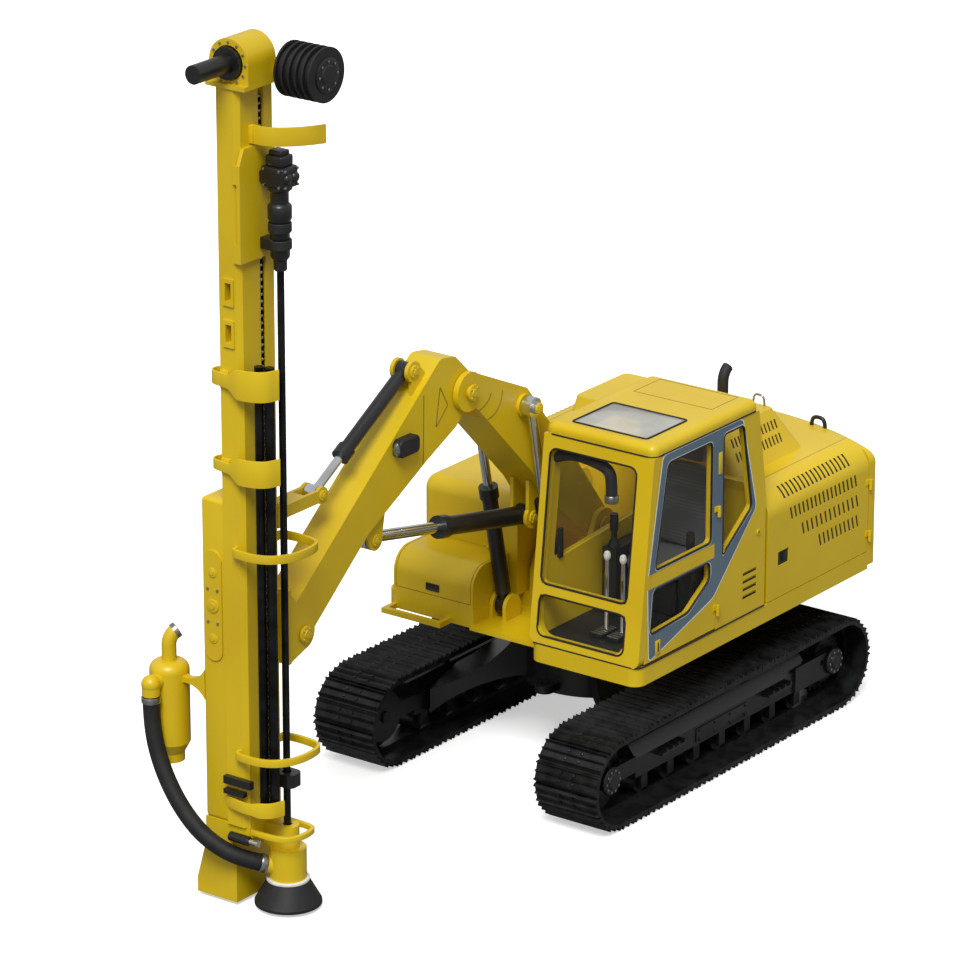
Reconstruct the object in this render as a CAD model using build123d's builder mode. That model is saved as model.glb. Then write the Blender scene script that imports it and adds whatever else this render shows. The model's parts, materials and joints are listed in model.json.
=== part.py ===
from build123d import *
import os
from math import atan2, cos, degrees, hypot, pi, radians, sin

# Top hammer drill rig on a tracked excavator carrier, in millimetres.
# Pieces are drawn about the slewing axis: +X forward, +Y to the machine's left, +Z up, ground at Z 0.
# They are written out about the middle of the whole machine's box, on the ground.

# Running clearances
PIN_GAP = 0.3
SIDE_GAP = 6.0
SEAM = 6.0

# Undercarriage
GAUGE = 1990.0
SHOE_WIDTH = 540.0
TRACK_LENGTH = 3600.0
TRACK_HEIGHT = 710.0
RUN_SHOES = 18
END_SHOES = 6
SHOE_PLATE = 25.0
SHOE_GAP = 8.0
SHOE_SKIN = 6.0
GROUSER = 22.0
LINK_HEIGHT = 46.0
LINK_WIDTH = 180.0
FRAME_WIDTH = 260.0
FRAME_LOW = 250.0
FRAME_HIGH = 400.0
FRAME_RIDGE = 490.0
FRAME_REAR = -1130.0
FRAME_FRONT = 1090.0
ROLLER_COUNT = 7
ROLLER_RADIUS = 75.0
CARRIER_RADIUS = 50.0
CARRIER_X = (-520.0, 560.0)
HUB_BORE = 45.0
IDLER_GUARD = 190.0
GUARD_PLATE = 22.0
STEP_X = (-820.0, 560.0)
STEP_LENGTH = 300.0
STEP_REACH = 75.0
STEP_TREADS = 4
TOOTH_COUNT = 21
DRUM_RADIUS = 560.0
DRUM_LOW = 470.0
DRUM_HIGH = 850.0
LEG_ANGLE = 48.0
LEG_WIDTH = 330.0
TOW_EYE_RADIUS = 32.0
TOW_EYE_X = 650.0
TOW_EYE_Z = 540.0
TOW_EYE_WIDTH = 60.0
TOW_TONGUE = 70.0

# Upper structure
DECK_LOW = 1000.0
DECK_HIGH = 1140.0
HALF_WIDTH = 1220.0
TAIL_REACH = 2200.0
DECK_REAR = -1790.0
NOSE_FRONT = 1000.0
NOSE_REAR = 420.0
NOSE_PLATE = 30.0
RIGHT_FRONT = 960.0
WEIGHT_LOW = 1030.0
WEIGHT_HIGH = 1950.0
BAY_FRONT = -430.0
BAY_HIGH = 2000.0
BAY_SHELL = 40.0
BAY_ROUND = 210.0

# Cab
CAB_REAR = -395.0
CAB_TOP_REAR = -290.0
CAB_FRONT = 1210.0
CAB_LEAN = 190.0
CAB_RIGHT = 263.0
CAB_HIGH = 2770.0
CAB_WALL = 50.0
ROOF_DEPTH = 90.0
ROOF_ROUND = 60.0
PILLAR_DEPTH = 75.0
CORNER_ROUND = 65.0
B_PILLAR = 235.0
GLASS = 6.0

# Boom, arm and their cylinders: pins as (X, Z) in the boom's plane
BOOM_Y = -90.0
BOOM_WIDTH = 360.0
ARM_WIDTH = 260.0
BOOM_FOOT = (100.0, 1680.0)
ARM_PIVOT = (1680.0, 3130.0)
MAST_PIVOT = (3570.0, 1900.0)
BOOM_CYLINDER = ((680.0, 1125.0), (1050.0, 2860.0))
ARM_CYLINDER = ((790.0, 1910.0), (2660.0, 2290.0))
TILT_CYLINDER = ((2200.0, 3400.0), (3240.0, 2790.0))
BOOM_CYLINDER_OFFSET = 250.0
FOOT_PIN = 50.0
ARM_PIN = 45.0

# Mast and drill
BEAM_REAR = 3740.0
BEAM_FRONT = 4120.0
BEAM_RIGHT = -175.0
BEAM_LEFT = 0.0
BEAM_LOW = 614.0
BEAM_HIGH = 5870.0
CRADLE_RIGHT = -385.0
CRADLE_HIGH = 2957.0
CRADLE_REAR = 3740.0
CRADLE_FRONT = 4100.0
FOOT_LOW = 25.0
DRILL_X = 3870.0
DRILL_Y = 150.0
ROD_RADIUS = 25.0
GUIDE_BORE = 34.0
CHUCK_LOW = 4600.0
HEAD_RADIUS = 165.0
MOTOR_FRONT = 4460.0
HOSE_DIAMETER = 115.0

# Worked out from the sizes above
ORIGIN_SHIFT = (TAIL_REACH - MOTOR_FRONT) / 2
WHEEL_Z = TRACK_HEIGHT / 2
WHEEL_X = TRACK_LENGTH / 2 - TRACK_HEIGHT / 2
SHOE_BASE = WHEEL_Z - GROUSER - SHOE_PLATE
LINK_INNER = SHOE_BASE - LINK_HEIGHT
RUN = 2 * WHEEL_X
PITCH = RUN / RUN_SHOES
END_TURN = pi / END_SHOES
SIDES = (("left", 1), ("right", -1))
BAY_REAR = DECK_REAR + SEAM
LEFT_WALL = HALF_WIDTH - CAB_WALL
ROOF_LOW = CAB_HIGH - ROOF_DEPTH
BEAM_Y = (BEAM_RIGHT + BEAM_LEFT) / 2
HEAD_Z = BEAM_HIGH + HEAD_RADIUS

os.makedirs("parts", exist_ok=True)


# Helpers that add to the part being built
def write(piece, name):
    """Label a finished piece and write it about the machine's own origin."""
    placed = piece.part.moved(Location((ORIGIN_SHIFT, 0, 0)))
    placed.label = name
    export_step(placed, f"parts/{name}.step")


def block(x, y, z, mode=Mode.ADD):
    """A box between limits, each a (low, high) pair."""
    with Locations(((x[0] + x[1]) / 2, (y[0] + y[1]) / 2, (z[0] + z[1]) / 2)):
        Box(x[1] - x[0], y[1] - y[0], z[1] - z[0], mode=mode)


def cross_pin(at, radius, y, mode=Mode.ADD):
    """A cylinder across the machine at an (X, Z) point."""
    with Locations(Location((at[0], (y[0] + y[1]) / 2, at[1]), (90, 0, 0))):
        Cylinder(radius, y[1] - y[0], mode=mode)


def upright(x, y, radius, z, mode=Mode.ADD):
    """A cylinder that stands up between two heights."""
    with Locations((x, y, z[0])):
        Cylinder(radius, z[1] - z[0], align=(Align.CENTER, Align.CENTER, Align.MIN), mode=mode)


def fore_aft(y, z, radius, x, mode=Mode.ADD):
    """A cylinder along the machine between two X positions."""
    with Locations(Location((x[0], y, z), (0, 90, 0))):
        Cylinder(radius, x[1] - x[0], align=(Align.CENTER, Align.CENTER, Align.MIN), mode=mode)


def side_plate(outline, y, rounding=0.0, mode=Mode.ADD):
    """A plate with an (X, Z) outline between two Y positions, its corners rounded."""
    with BuildSketch(Plane.XZ.offset(-y[1])) as side:
        with BuildLine():
            Polyline(*outline, close=True)
        make_face()
        if rounding:
            fillet(side.vertices(), rounding)
    extrude(side.sketch, amount=y[1] - y[0], mode=mode)


def cross_plate(outline, x, rounding=0.0, mode=Mode.ADD):
    """A plate with a (Y, Z) outline between two X positions, its corners rounded."""
    with BuildSketch(Plane.YZ.offset(x[0])) as face:
        with BuildLine():
            Polyline(*outline, close=True)
        make_face()
        if rounding:
            fillet(face.vertices(), rounding)
    extrude(face.sketch, amount=x[1] - x[0], mode=mode)


def axis_plane(base, tip, y):
    """The plane at a cylinder's base pin whose normal points at the rod's eye."""
    run = hypot(tip[0] - base[0], tip[1] - base[1])
    toward = ((tip[0] - base[0]) / run, 0, (tip[1] - base[1]) / run)
    return Plane(origin=(base[0], y, base[1]), x_dir=(0, 1, 0), z_dir=toward), run


def along(plane, radius, start, end, mode=Mode.ADD):
    """A cylinder along a plane's normal between two distances."""
    with Locations(plane.offset(start)):
        Cylinder(radius, end - start, align=(Align.CENTER, Align.CENTER, Align.MIN), mode=mode)


# Hydraulic cylinders. Lengths are distances from the base pin at rest.
# name: tube radius, rod radius, eye radius, eye width, pin radius, tube start, gland, bore start, rod length
HYDRAULICS = {
    "boom": (58.0, 35.0, 75.0, 80.0, 40.0, 112.0, 1000.0, 300.0, 1090.0),
    "arm": (70.0, 42.0, 75.0, 100.0, 40.0, 115.0, 1060.0, 200.0, 1338.0),
    "tilt": (52.0, 32.0, 60.0, 90.0, 35.0, 100.0, 860.0, 200.0, 880.0),
}
GLAND_LENGTH = 90.0
GLAND_STEP = 14.0


def add_barrel(kind, pins, y):
    tube, rod, eye, width, pin, start, gland, bore, rod_length = HYDRAULICS[kind]
    plane, run = axis_plane(*pins, y)
    cross_pin(pins[0], eye, (y - width / 2, y + width / 2))
    along(plane, width / 2 - 2, 0, start + 10)
    along(plane, tube, start, gland)
    along(plane, tube + GLAND_STEP, gland - GLAND_LENGTH, gland)
    along(plane, rod + PIN_GAP, bore, gland + 1, mode=Mode.SUBTRACT)
    cross_pin(pins[0], pin + PIN_GAP, (y - width, y + width), mode=Mode.SUBTRACT)


def add_rod(kind, pins, y, cap=0.0):
    tube, rod, eye, width, pin, start, gland, bore, rod_length = HYDRAULICS[kind]
    plane, run = axis_plane(*pins, y)
    along(plane, rod, run - rod_length, run)
    cross_pin(pins[1], eye, (y - width / 2, y + width / 2))
    if cap:
        side = 1 if cap > 0 else -1
        ends = sorted((y + side * width / 2, y + side * width / 2 + cap))
        cross_pin(pins[1], eye * 0.6, ends)


# Track loop: flat shoes along both runs and round both ends
def loop_shoes():
    """Each shoe's middle, its outward direction and its half length."""
    shoes = []
    end_half = SHOE_BASE * sin(END_TURN / 2)
    end_mid = SHOE_BASE * cos(END_TURN / 2)
    for way in (1, -1):
        for shoe in range(RUN_SHOES):
            x = way * (-WHEEL_X + (shoe + 0.5) * PITCH)
            shoes.append((x, WHEEL_Z + way * SHOE_BASE, 0, way, PITCH / 2))
        for shoe in range(END_SHOES):
            turn = (shoe + 0.5) * END_TURN
            out_x, out_z = way * sin(turn), way * cos(turn)
            shoes.append((way * WHEEL_X + end_mid * out_x, WHEEL_Z + end_mid * out_z, out_x, out_z, end_half))
    return shoes


def shoe_profile(half_pitch):
    """One shoe with three grousers, as (along the loop, outwards) points."""
    half = half_pitch - SHOE_GAP / 2
    grouser_half = half_pitch * 0.16
    points = [(-half, SHOE_SKIN), (-half, SHOE_PLATE)]
    for centre in (-half + grouser_half, 0, half - grouser_half):
        points += [
            (centre - grouser_half * 0.9, SHOE_PLATE),
            (centre, SHOE_PLATE + GROUSER),
            (centre + grouser_half * 0.9, SHOE_PLATE),
        ]
    return points + [(half, SHOE_PLATE), (half, SHOE_SKIN)]


for side_name, side in SIDES:
    outline = []
    for x, z, out_x, out_z, half_pitch in loop_shoes():
        profile = shoe_profile(half_pitch)
        outline += [(x + out_z * t + out_x * n, z - out_x * t + out_z * n) for t, n in profile]
    centre_y = side * GAUGE / 2
    with BuildPart() as track:
        with BuildSketch(Plane.XZ.offset(-centre_y - SHOE_WIDTH / 2)) as shoes:
            with BuildLine():
                Polyline(*outline, close=True)
            make_face()
            with Locations((0, WHEEL_Z)):
                SlotCenterToCenter(RUN, 2 * SHOE_BASE - 24, mode=Mode.SUBTRACT)
        extrude(amount=SHOE_WIDTH)
        with BuildSketch(Plane.XZ.offset(-centre_y - LINK_WIDTH / 2)) as links:
            with Locations((0, WHEEL_Z)):
                SlotCenterToCenter(RUN, 2 * SHOE_BASE - 20)
                SlotCenterToCenter(RUN, 2 * LINK_INNER, mode=Mode.SUBTRACT)
        extrude(amount=LINK_WIDTH)
    write(track, f"track_{side_name}")

    with BuildPart() as frame:
        half = FRAME_WIDTH / 2
        ridge = half * 0.45
        cross_plate(
            [
                (centre_y - half, FRAME_LOW),
                (centre_y + half, FRAME_LOW),
                (centre_y + half, FRAME_HIGH),
                (centre_y + ridge, FRAME_RIDGE),
                (centre_y - ridge, FRAME_RIDGE),
                (centre_y - half, FRAME_HIGH),
            ],
            (FRAME_REAR, FRAME_FRONT),
        )
        # Forks that hold the idler's and the sprocket's hubs
        for fork in (-1, 1):
            fork_y = sorted((centre_y + fork * 100, centre_y + fork * half))
            block((FRAME_FRONT - 10, WHEEL_X + 70), fork_y, (WHEEL_Z - 60, WHEEL_Z + 60))
            block((-WHEEL_X - 60, FRAME_REAR + 10), fork_y, (WHEEL_Z - 110, WHEEL_Z + 90))
        guard = sorted((centre_y - side * half, centre_y - side * (half - GUARD_PLATE)))
        cross_pin((WHEEL_X, WHEEL_Z), IDLER_GUARD, guard)
        rear_plate = sorted((centre_y + side * half, centre_y + side * (half + GUARD_PLATE)))
        block((-WHEEL_X - 20, FRAME_REAR + 180), rear_plate, (FRAME_LOW, FRAME_HIGH + 45))
        cross_pin((-WHEEL_X + 140, FRAME_HIGH - 20), 22, rear_plate, mode=Mode.SUBTRACT)
        outside = half + GUARD_PLATE
        for hub_x in (WHEEL_X, -WHEEL_X):
            cross_pin((hub_x, WHEEL_Z), HUB_BORE, (centre_y - outside, centre_y + outside), mode=Mode.SUBTRACT)
        for step_x in STEP_X:
            step_y = sorted((centre_y + side * (half - 5), centre_y + side * (half + STEP_REACH)))
            block((step_x, step_x + STEP_LENGTH), step_y, (FRAME_HIGH - 40, FRAME_HIGH - 20))
            for tread in range(STEP_TREADS):
                x = step_x + STEP_LENGTH * tread / STEP_TREADS
                block((x, x + 18), step_y, (FRAME_HIGH - 25, FRAME_HIGH))
    write(frame, f"track_frame_{side_name}")

with BuildPart() as idlers:
    for side_name, side in SIDES:
        y = side * GAUGE / 2
        at = (WHEEL_X, WHEEL_Z)
        cross_pin(at, LINK_INNER - PIN_GAP, (y - 50, y + 50))
        cross_pin(at, 130, (y - 90, y + 90))
        cross_pin(at, HUB_BORE - PIN_GAP, (y - FRAME_WIDTH / 2 - 20, y + FRAME_WIDTH / 2 + 20))
write(idlers, "idlers")

with BuildPart() as sprockets:
    for side_name, side in SIDES:
        y = side * GAUGE / 2
        teeth = []
        for tooth in range(TOOTH_COUNT):
            for turn, radius in ((0.0, 232), (0.3, LINK_INNER - PIN_GAP), (0.5, LINK_INNER - PIN_GAP), (0.8, 232)):
                angle = 2 * pi * (tooth + turn) / TOOTH_COUNT
                teeth.append((-WHEEL_X + radius * cos(angle), WHEEL_Z + radius * sin(angle)))
        side_plate(teeth, (y - 32, y + 32))
        cross_pin((-WHEEL_X, WHEEL_Z), 175, (y - 90, y + 90))
        cross_pin((-WHEEL_X, WHEEL_Z), HUB_BORE - PIN_GAP, (y - FRAME_WIDTH / 2 - 20, y + FRAME_WIDTH / 2 + 20))
write(sprockets, "sprockets")

with BuildPart() as rollers:
    for side_name, side in SIDES:
        y = side * GAUGE / 2
        span = (FRAME_FRONT - FRAME_REAR) - 240
        for number in range(ROLLER_COUNT):
            x = FRAME_REAR + 120 + span * number / (ROLLER_COUNT - 1)
            at = (x, WHEEL_Z - LINK_INNER + ROLLER_RADIUS + PIN_GAP)
            cross_pin(at, ROLLER_RADIUS, (y - 80, y + 80))
            cross_pin(at, 30, (y - 125, y + 125))
            for end in (-1, 1):
                block((x - 38, x + 38), sorted((y + end * 90, y + end * 125)), (at[1] - 30, FRAME_LOW))
        for x in CARRIER_X:
            at = (x, WHEEL_Z + LINK_INNER - CARRIER_RADIUS - PIN_GAP)
            inner, outer = sorted((y - side * 10, y + side * 90))
            cross_pin(at, CARRIER_RADIUS, (inner, outer))
            block((x - 25, x + 25), sorted((y - side * 40, y - side * 10)), (FRAME_RIDGE, at[1] + 20))
write(rollers, "track_rollers")

with BuildPart() as carbody:
    upright(0, 0, DRUM_RADIUS, (DRUM_LOW, DRUM_HIGH))
    for end in (-1, 1):
        tow_z = (TOW_EYE_Z - TOW_EYE_WIDTH / 2, TOW_EYE_Z + TOW_EYE_WIDTH / 2)
        block(sorted((end * (DRUM_RADIUS - 20), end * TOW_EYE_X)), (-TOW_TONGUE, TOW_TONGUE), tow_z)
        upright(end * TOW_EYE_X, 0, TOW_TONGUE, tow_z)
        upright(end * TOW_EYE_X, 0, TOW_EYE_RADIUS, tow_z, mode=Mode.SUBTRACT)
write(carbody, "carbody")

FRAME_INNER = GAUGE / 2 - FRAME_WIDTH / 2
with BuildPart() as legs:
    for end in (-1, 1):
        for side_name, side in SIDES:
            c = end * cos(radians(LEG_ANGLE))
            s = side * sin(radians(LEG_ANGLE))
            with BuildSketch(Plane(origin=(0, 0, 0), x_dir=(c, s, 0), z_dir=(s, -c, 0))) as leg:
                with BuildLine():
                    Polyline((500, 520), (500, 840), (600, 840))
                    ThreePointArc((600, 840), (800, 640), (1250, 430))
                    Line((1250, 430), (1250, 240))
                    ThreePointArc((1250, 240), (900, 440), (500, 520))
                make_face()
            extrude(leg.sketch, amount=LEG_WIDTH / 2, both=True)
    upright(0, 0, DRUM_RADIUS, (0, DRUM_HIGH + 100), mode=Mode.SUBTRACT)
    for side_name, side in SIDES:
        block((-2000, 2000), sorted((side * FRAME_INNER, side * 2000)), (0, 1000), mode=Mode.SUBTRACT)
write(legs, "carbody_legs")

with BuildPart() as ring:
    upright(0, 0, DRUM_RADIUS, (DRUM_HIGH, DECK_LOW - PIN_GAP))
    upright(0, 0, DRUM_RADIUS + 35, (DRUM_HIGH + 50, DECK_LOW - 60))
    upright(0, 0, DRUM_RADIUS - 110, (DRUM_HIGH - 10, DECK_LOW + 10), mode=Mode.SUBTRACT)
write(ring, "slewing_ring")

# Upper structure
BOOM_SIDE = (BOOM_Y - BOOM_WIDTH / 2, BOOM_Y + BOOM_WIDTH / 2)
TOWER_PLATE = 40.0
TOWERS = (
    (BOOM_SIDE[0] - SIDE_GAP - TOWER_PLATE, BOOM_SIDE[0] - SIDE_GAP),
    (BOOM_SIDE[1] + SIDE_GAP, BOOM_SIDE[1] + SIDE_GAP + TOWER_PLATE),
)
RIGHT_EDGE = -325.0
STEP_BAR_X = 1100.0
STEP_BAR_Y = (-1140.0, -640.0)
EAR_PLATE = 30.0
EAR_GAP = 5.0
with BuildPart() as main_frame:
    with BuildSketch(Plane.XY.offset(DECK_LOW)) as deck:
        with BuildLine():
            Polyline(
                (DECK_REAR, -HALF_WIDTH),
                (RIGHT_FRONT, -HALF_WIDTH),
                (RIGHT_FRONT, RIGHT_EDGE - 95),
                (NOSE_REAR, RIGHT_EDGE - 95),
                (NOSE_REAR, CAB_RIGHT),
                (CAB_FRONT, CAB_RIGHT),
                (CAB_FRONT, HALF_WIDTH),
                (DECK_REAR, HALF_WIDTH),
                close=True,
            )
        make_face()
        fillet(deck.vertices().sort_by(Axis.X)[-2:], 90)
        fillet(deck.vertices().group_by(Axis.Y)[0].sort_by(Axis.X)[-1], 90)
    extrude(amount=DECK_HIGH - DECK_LOW)
    block((NOSE_REAR - 10, NOSE_FRONT), (RIGHT_EDGE - 100, CAB_RIGHT + 5), (DECK_LOW, DECK_LOW + NOSE_PLATE))
    for tower in TOWERS:
        side_plate(
            [(-420, DECK_HIGH - 5), (410, DECK_HIGH - 5), (400, 1320), (215, 1730), (-10, 1740), (-330, 1300)], tower
        )
        cross_pin(BOOM_FOOT, 125, tower)
    cross_pin(BOOM_FOOT, FOOT_PIN, (TOWERS[0][0] - 10, TOWERS[1][1] + 10))
    eye_width = HYDRAULICS["boom"][3]
    base = BOOM_CYLINDER[0]
    for across in (-BOOM_CYLINDER_OFFSET, BOOM_CYLINDER_OFFSET):
        centre_y = BOOM_Y + across
        for end in (-1, 1):
            ear = sorted((centre_y + end * (eye_width / 2 + EAR_GAP), centre_y + end * (eye_width / 2 + EAR_GAP + EAR_PLATE)))
            cross_pin(base, 92, ear)
            block((base[0] - 92, base[0] + 92), ear, (DECK_LOW + NOSE_PLATE - 5, base[1]))
        reach = eye_width / 2 + EAR_GAP + EAR_PLATE
        cross_pin(base, HYDRAULICS["boom"][4], (centre_y - reach, centre_y + reach))
    # Step bar ahead of the toolbox
    for y in STEP_BAR_Y:
        block((RIGHT_FRONT - 5, STEP_BAR_X), (y - 20, y + 20), (DECK_LOW, DECK_LOW + 40))
    block((STEP_BAR_X - 40, STEP_BAR_X), (STEP_BAR_Y[0] - 20, STEP_BAR_Y[1] + 20), (DECK_LOW, DECK_LOW + 40))
write(main_frame, "main_frame")

with BuildPart() as engine:
    block((-1500, -700), (-450, 450), (DECK_HIGH + 80, 1820))
    for x in (-1420, -780):
        for y in (-330, 330):
            block((x - 60, x + 60), (y - 60, y + 60), (DECK_HIGH, DECK_HIGH + 85))
write(engine, "engine_block")

HINGE_OUT = 16.0
HINGE_PIN = 6.0
HINGE_BARREL = 13.0
HINGE_LEAF = 40.0


def door_hinge(axis_x, axis_y, side, heights, part):
    """Knuckles round an upright hinge pin: part is 'fixed' (with the pin, behind) or 'door' (ahead, on top)."""
    for z in heights:
        low, high = (z, z + 40) if part == "fixed" else (z + 40 + PIN_GAP, z + 80)
        upright(axis_x, axis_y, HINGE_BARREL, (low, high))
        leaf = (axis_x - HINGE_LEAF, axis_x) if part == "fixed" else (axis_x, axis_x + HINGE_LEAF)
        block(leaf, sorted((axis_y - side * HINGE_OUT, axis_y - side * 8)), (low, high))
        if part == "fixed":
            upright(axis_x, axis_y, HINGE_PIN, (high - 1, z + 79))
        else:
            upright(axis_x, axis_y, HINGE_PIN + PIN_GAP, (low - 1, z + 79 + PIN_GAP), mode=Mode.SUBTRACT)


def lid_hinge(at, y_starts, part):
    """Knuckles round a hinge pin across the machine: part is 'fixed' (with the pin, behind) or 'lid' (ahead)."""
    for y in y_starts:
        low, high = (y, y + 40) if part == "fixed" else (y + 40 + PIN_GAP, y + 80)
        cross_pin(at, HINGE_BARREL, (low, high))
        leaf = (at[0] - HINGE_LEAF / 2, at[0]) if part == "fixed" else (at[0], at[0] + HINGE_LEAF)
        block(leaf, (low, high), (at[1] - HINGE_OUT, at[1] - 8))
        if part == "fixed":
            cross_pin(at, HINGE_PIN, (high - 1, y + 79))
        else:
            cross_pin(at, HINGE_PIN + PIN_GAP, (low - 1, y + 79 + PIN_GAP), mode=Mode.SUBTRACT)


# Engine bay: a front bulkhead, a top deck round the hood, and a door on each side that curves over the edge
HOOD_X = (-1440.0, -520.0)
HOOD_Y = (-700.0, 860.0)
HOOD_HINGE = (HOOD_X[0] - HINGE_OUT, BAY_HIGH + HINGE_OUT)
HOOD_HINGE_Y = (-420.0, 500.0)
DOOR_TOP_Y = HALF_WIDTH - BAY_ROUND
with BuildPart() as housing:
    block((BAY_FRONT - 20, BAY_FRONT), (-DOOR_TOP_Y + 2, DOOR_TOP_Y - 2), (DECK_HIGH, BAY_HIGH - BAY_SHELL))
    block((BAY_REAR, BAY_FRONT), (-DOOR_TOP_Y + SEAM, DOOR_TOP_Y - SEAM), (BAY_HIGH - BAY_SHELL, BAY_HIGH))
    block((BAY_REAR, BAY_REAR + 20), (-DOOR_TOP_Y + 2, DOOR_TOP_Y - 2), (DECK_HIGH, BAY_HIGH - BAY_SHELL + 5))
    block(
        (HOOD_X[0] + 60, HOOD_X[1] - 60),
        (HOOD_Y[0] + 60, HOOD_Y[1] - 60),
        (BAY_HIGH - BAY_SHELL - 5, BAY_HIGH + 5),
        mode=Mode.SUBTRACT,
    )
    lid_hinge(HOOD_HINGE, HOOD_HINGE_Y, "fixed")
write(housing, "engine_housing")

DOOR_HINGE_Z = (1230.0, 1640.0)
CAB_HINGE_Z = (1260.0, 2020.0)
DOOR_LOW = DECK_HIGH + SEAM
BAY_HINGE_X = BAY_REAR - 2
with BuildPart() as counterweight:
    with BuildSketch(Plane.XY.offset(WEIGHT_LOW)) as plan:
        with BuildLine():
            Polyline(
                (DECK_REAR, -HALF_WIDTH),
                (DECK_REAR, HALF_WIDTH),
                (-TAIL_REACH + 330, HALF_WIDTH),
            )
            ThreePointArc((-TAIL_REACH + 330, HALF_WIDTH), (-TAIL_REACH, 0), (-TAIL_REACH + 330, -HALF_WIDTH))
            Line((-TAIL_REACH + 330, -HALF_WIDTH), (DECK_REAR, -HALF_WIDTH))
        make_face()
    extrude(amount=WEIGHT_HIGH - WEIGHT_LOW)
    fillet(counterweight.faces().sort_by(Axis.Z)[-1].edges().sort_by(Axis.X)[:-1], 120)
    for side_name, side in SIDES:
        door_hinge(BAY_HINGE_X, side * (HALF_WIDTH + HINGE_OUT), side, DOOR_HINGE_Z, "fixed")
write(counterweight, "counterweight")

# Louvre rows in each service door. Columns: first X, last X, mid Z, slots, roll onto the rounded shoulder
SLOT_ROWS = (
    (-680.0, -1540.0, 0.0, 17, 42.0),
    (-740.0, -1600.0, 1755.0, 17, 0.0),
    (-900.0, -1625.0, 1590.0, 13, 0.0),
    (-1130.0, -1630.0, 1430.0, 10, 0.0),
)
SLOT_WIDTH = 22.0
SLOT_HEIGHT = 105.0
SLOT_DEPTH = 22.0
SLOT_SLANT = 16.0
HANDLE_X = -640.0
HANDLE_Z = 1445.0
for side_name, side in SIDES:
    with BuildPart() as service_door:
        with BuildSketch(Plane.YZ.offset(BAY_REAR + SEAM)) as shell:
            with BuildLine():
                Line((side * HALF_WIDTH, DOOR_LOW), (side * HALF_WIDTH, BAY_HIGH - BAY_ROUND))
                RadiusArc(
                    (side * HALF_WIDTH, BAY_HIGH - BAY_ROUND), (side * DOOR_TOP_Y, BAY_HIGH), -side * BAY_ROUND
                )
                Line((side * DOOR_TOP_Y, BAY_HIGH), (side * DOOR_TOP_Y, BAY_HIGH - BAY_SHELL))
                RadiusArc(
                    (side * DOOR_TOP_Y, BAY_HIGH - BAY_SHELL),
                    (side * (HALF_WIDTH - BAY_SHELL), BAY_HIGH - BAY_ROUND),
                    side * (BAY_ROUND - BAY_SHELL),
                )
                Polyline(
                    (side * (HALF_WIDTH - BAY_SHELL), BAY_HIGH - BAY_ROUND),
                    (side * (HALF_WIDTH - BAY_SHELL), DOOR_LOW),
                    (side * HALF_WIDTH, DOOR_LOW),
                )
            make_face()
        extrude(amount=BAY_FRONT - BAY_REAR - 2 * SEAM)
        door_hinge(BAY_HINGE_X, side * (HALF_WIDTH + HINGE_OUT), side, DOOR_HINGE_Z, "door")
        for first_x, last_x, z, count, roll in SLOT_ROWS:
            centre = (HALF_WIDTH, z)
            if roll:
                reach = BAY_ROUND * cos(radians(roll))
                centre = (DOOR_TOP_Y + reach, BAY_HIGH - BAY_ROUND + BAY_ROUND * sin(radians(roll)))
            for number in range(count):
                x = first_x + (last_x - first_x) * number / (count - 1)
                turn = (side * roll, SLOT_SLANT if roll == 0 else 0, 0)
                with Locations(Location((x, side * centre[0], centre[1]), turn)):
                    Box(SLOT_WIDTH, 2 * SLOT_DEPTH, SLOT_HEIGHT, mode=Mode.SUBTRACT)
        block(
            (HANDLE_X - 70, HANDLE_X + 70),
            sorted((side * (HALF_WIDTH - SLOT_DEPTH), side * (HALF_WIDTH + 1))),
            (HANDLE_Z - 55, HANDLE_Z + 55),
            mode=Mode.SUBTRACT,
        )
    write(service_door, f"service_door_{side_name}")

HOOD_HIGH = 2330.0
HOOD_SHELL = 25.0
HOOD_TAPER = 150.0
HOOD_SLOPE = degrees(atan2(HOOD_TAPER, HOOD_HIGH - BAY_HIGH))
HOOD_SLOT_X = (-640.0, -980.0)
HOOD_SLOTS = 6
HOOD_SLOT_PITCH = 45.0
HOOD_SLOT_DEPTH = 14.0
EXHAUST = (-1180.0, 300.0)
with BuildPart() as hood:
    with BuildSketch(Plane.XY.offset(BAY_HIGH + PIN_GAP)) as base_plan:
        with Locations(((HOOD_X[0] + HOOD_X[1]) / 2, (HOOD_Y[0] + HOOD_Y[1]) / 2)):
            RectangleRounded(HOOD_X[1] - HOOD_X[0], HOOD_Y[1] - HOOD_Y[0], 60)
    with BuildSketch(Plane.XY.offset(HOOD_HIGH)) as top_plan:
        with Locations(((HOOD_X[0] + HOOD_X[1]) / 2 + 60, (HOOD_Y[0] + HOOD_Y[1]) / 2 - 40)):
            RectangleRounded(HOOD_X[1] - HOOD_X[0] - 260, HOOD_Y[1] - HOOD_Y[0] - 2 * HOOD_TAPER + 80, 50)
    loft()
    offset(amount=-HOOD_SHELL, openings=hood.faces().sort_by(Axis.Z)[0])
    lid_hinge(HOOD_HINGE, HOOD_HINGE_Y, "lid")
    for first_x in HOOD_SLOT_X:
        for row in (0.38, 0.68):
            slope_y = HOOD_Y[1] - HOOD_TAPER * row
            for number in range(HOOD_SLOTS):
                at = (first_x - number * HOOD_SLOT_PITCH, slope_y, BAY_HIGH + (HOOD_HIGH - BAY_HIGH) * row)
                with Locations(Location(at, (HOOD_SLOPE, 0, 0))):
                    Box(SLOT_WIDTH, 2 * HOOD_SLOT_DEPTH, 70, mode=Mode.SUBTRACT)
write(hood, "engine_hood")

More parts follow.
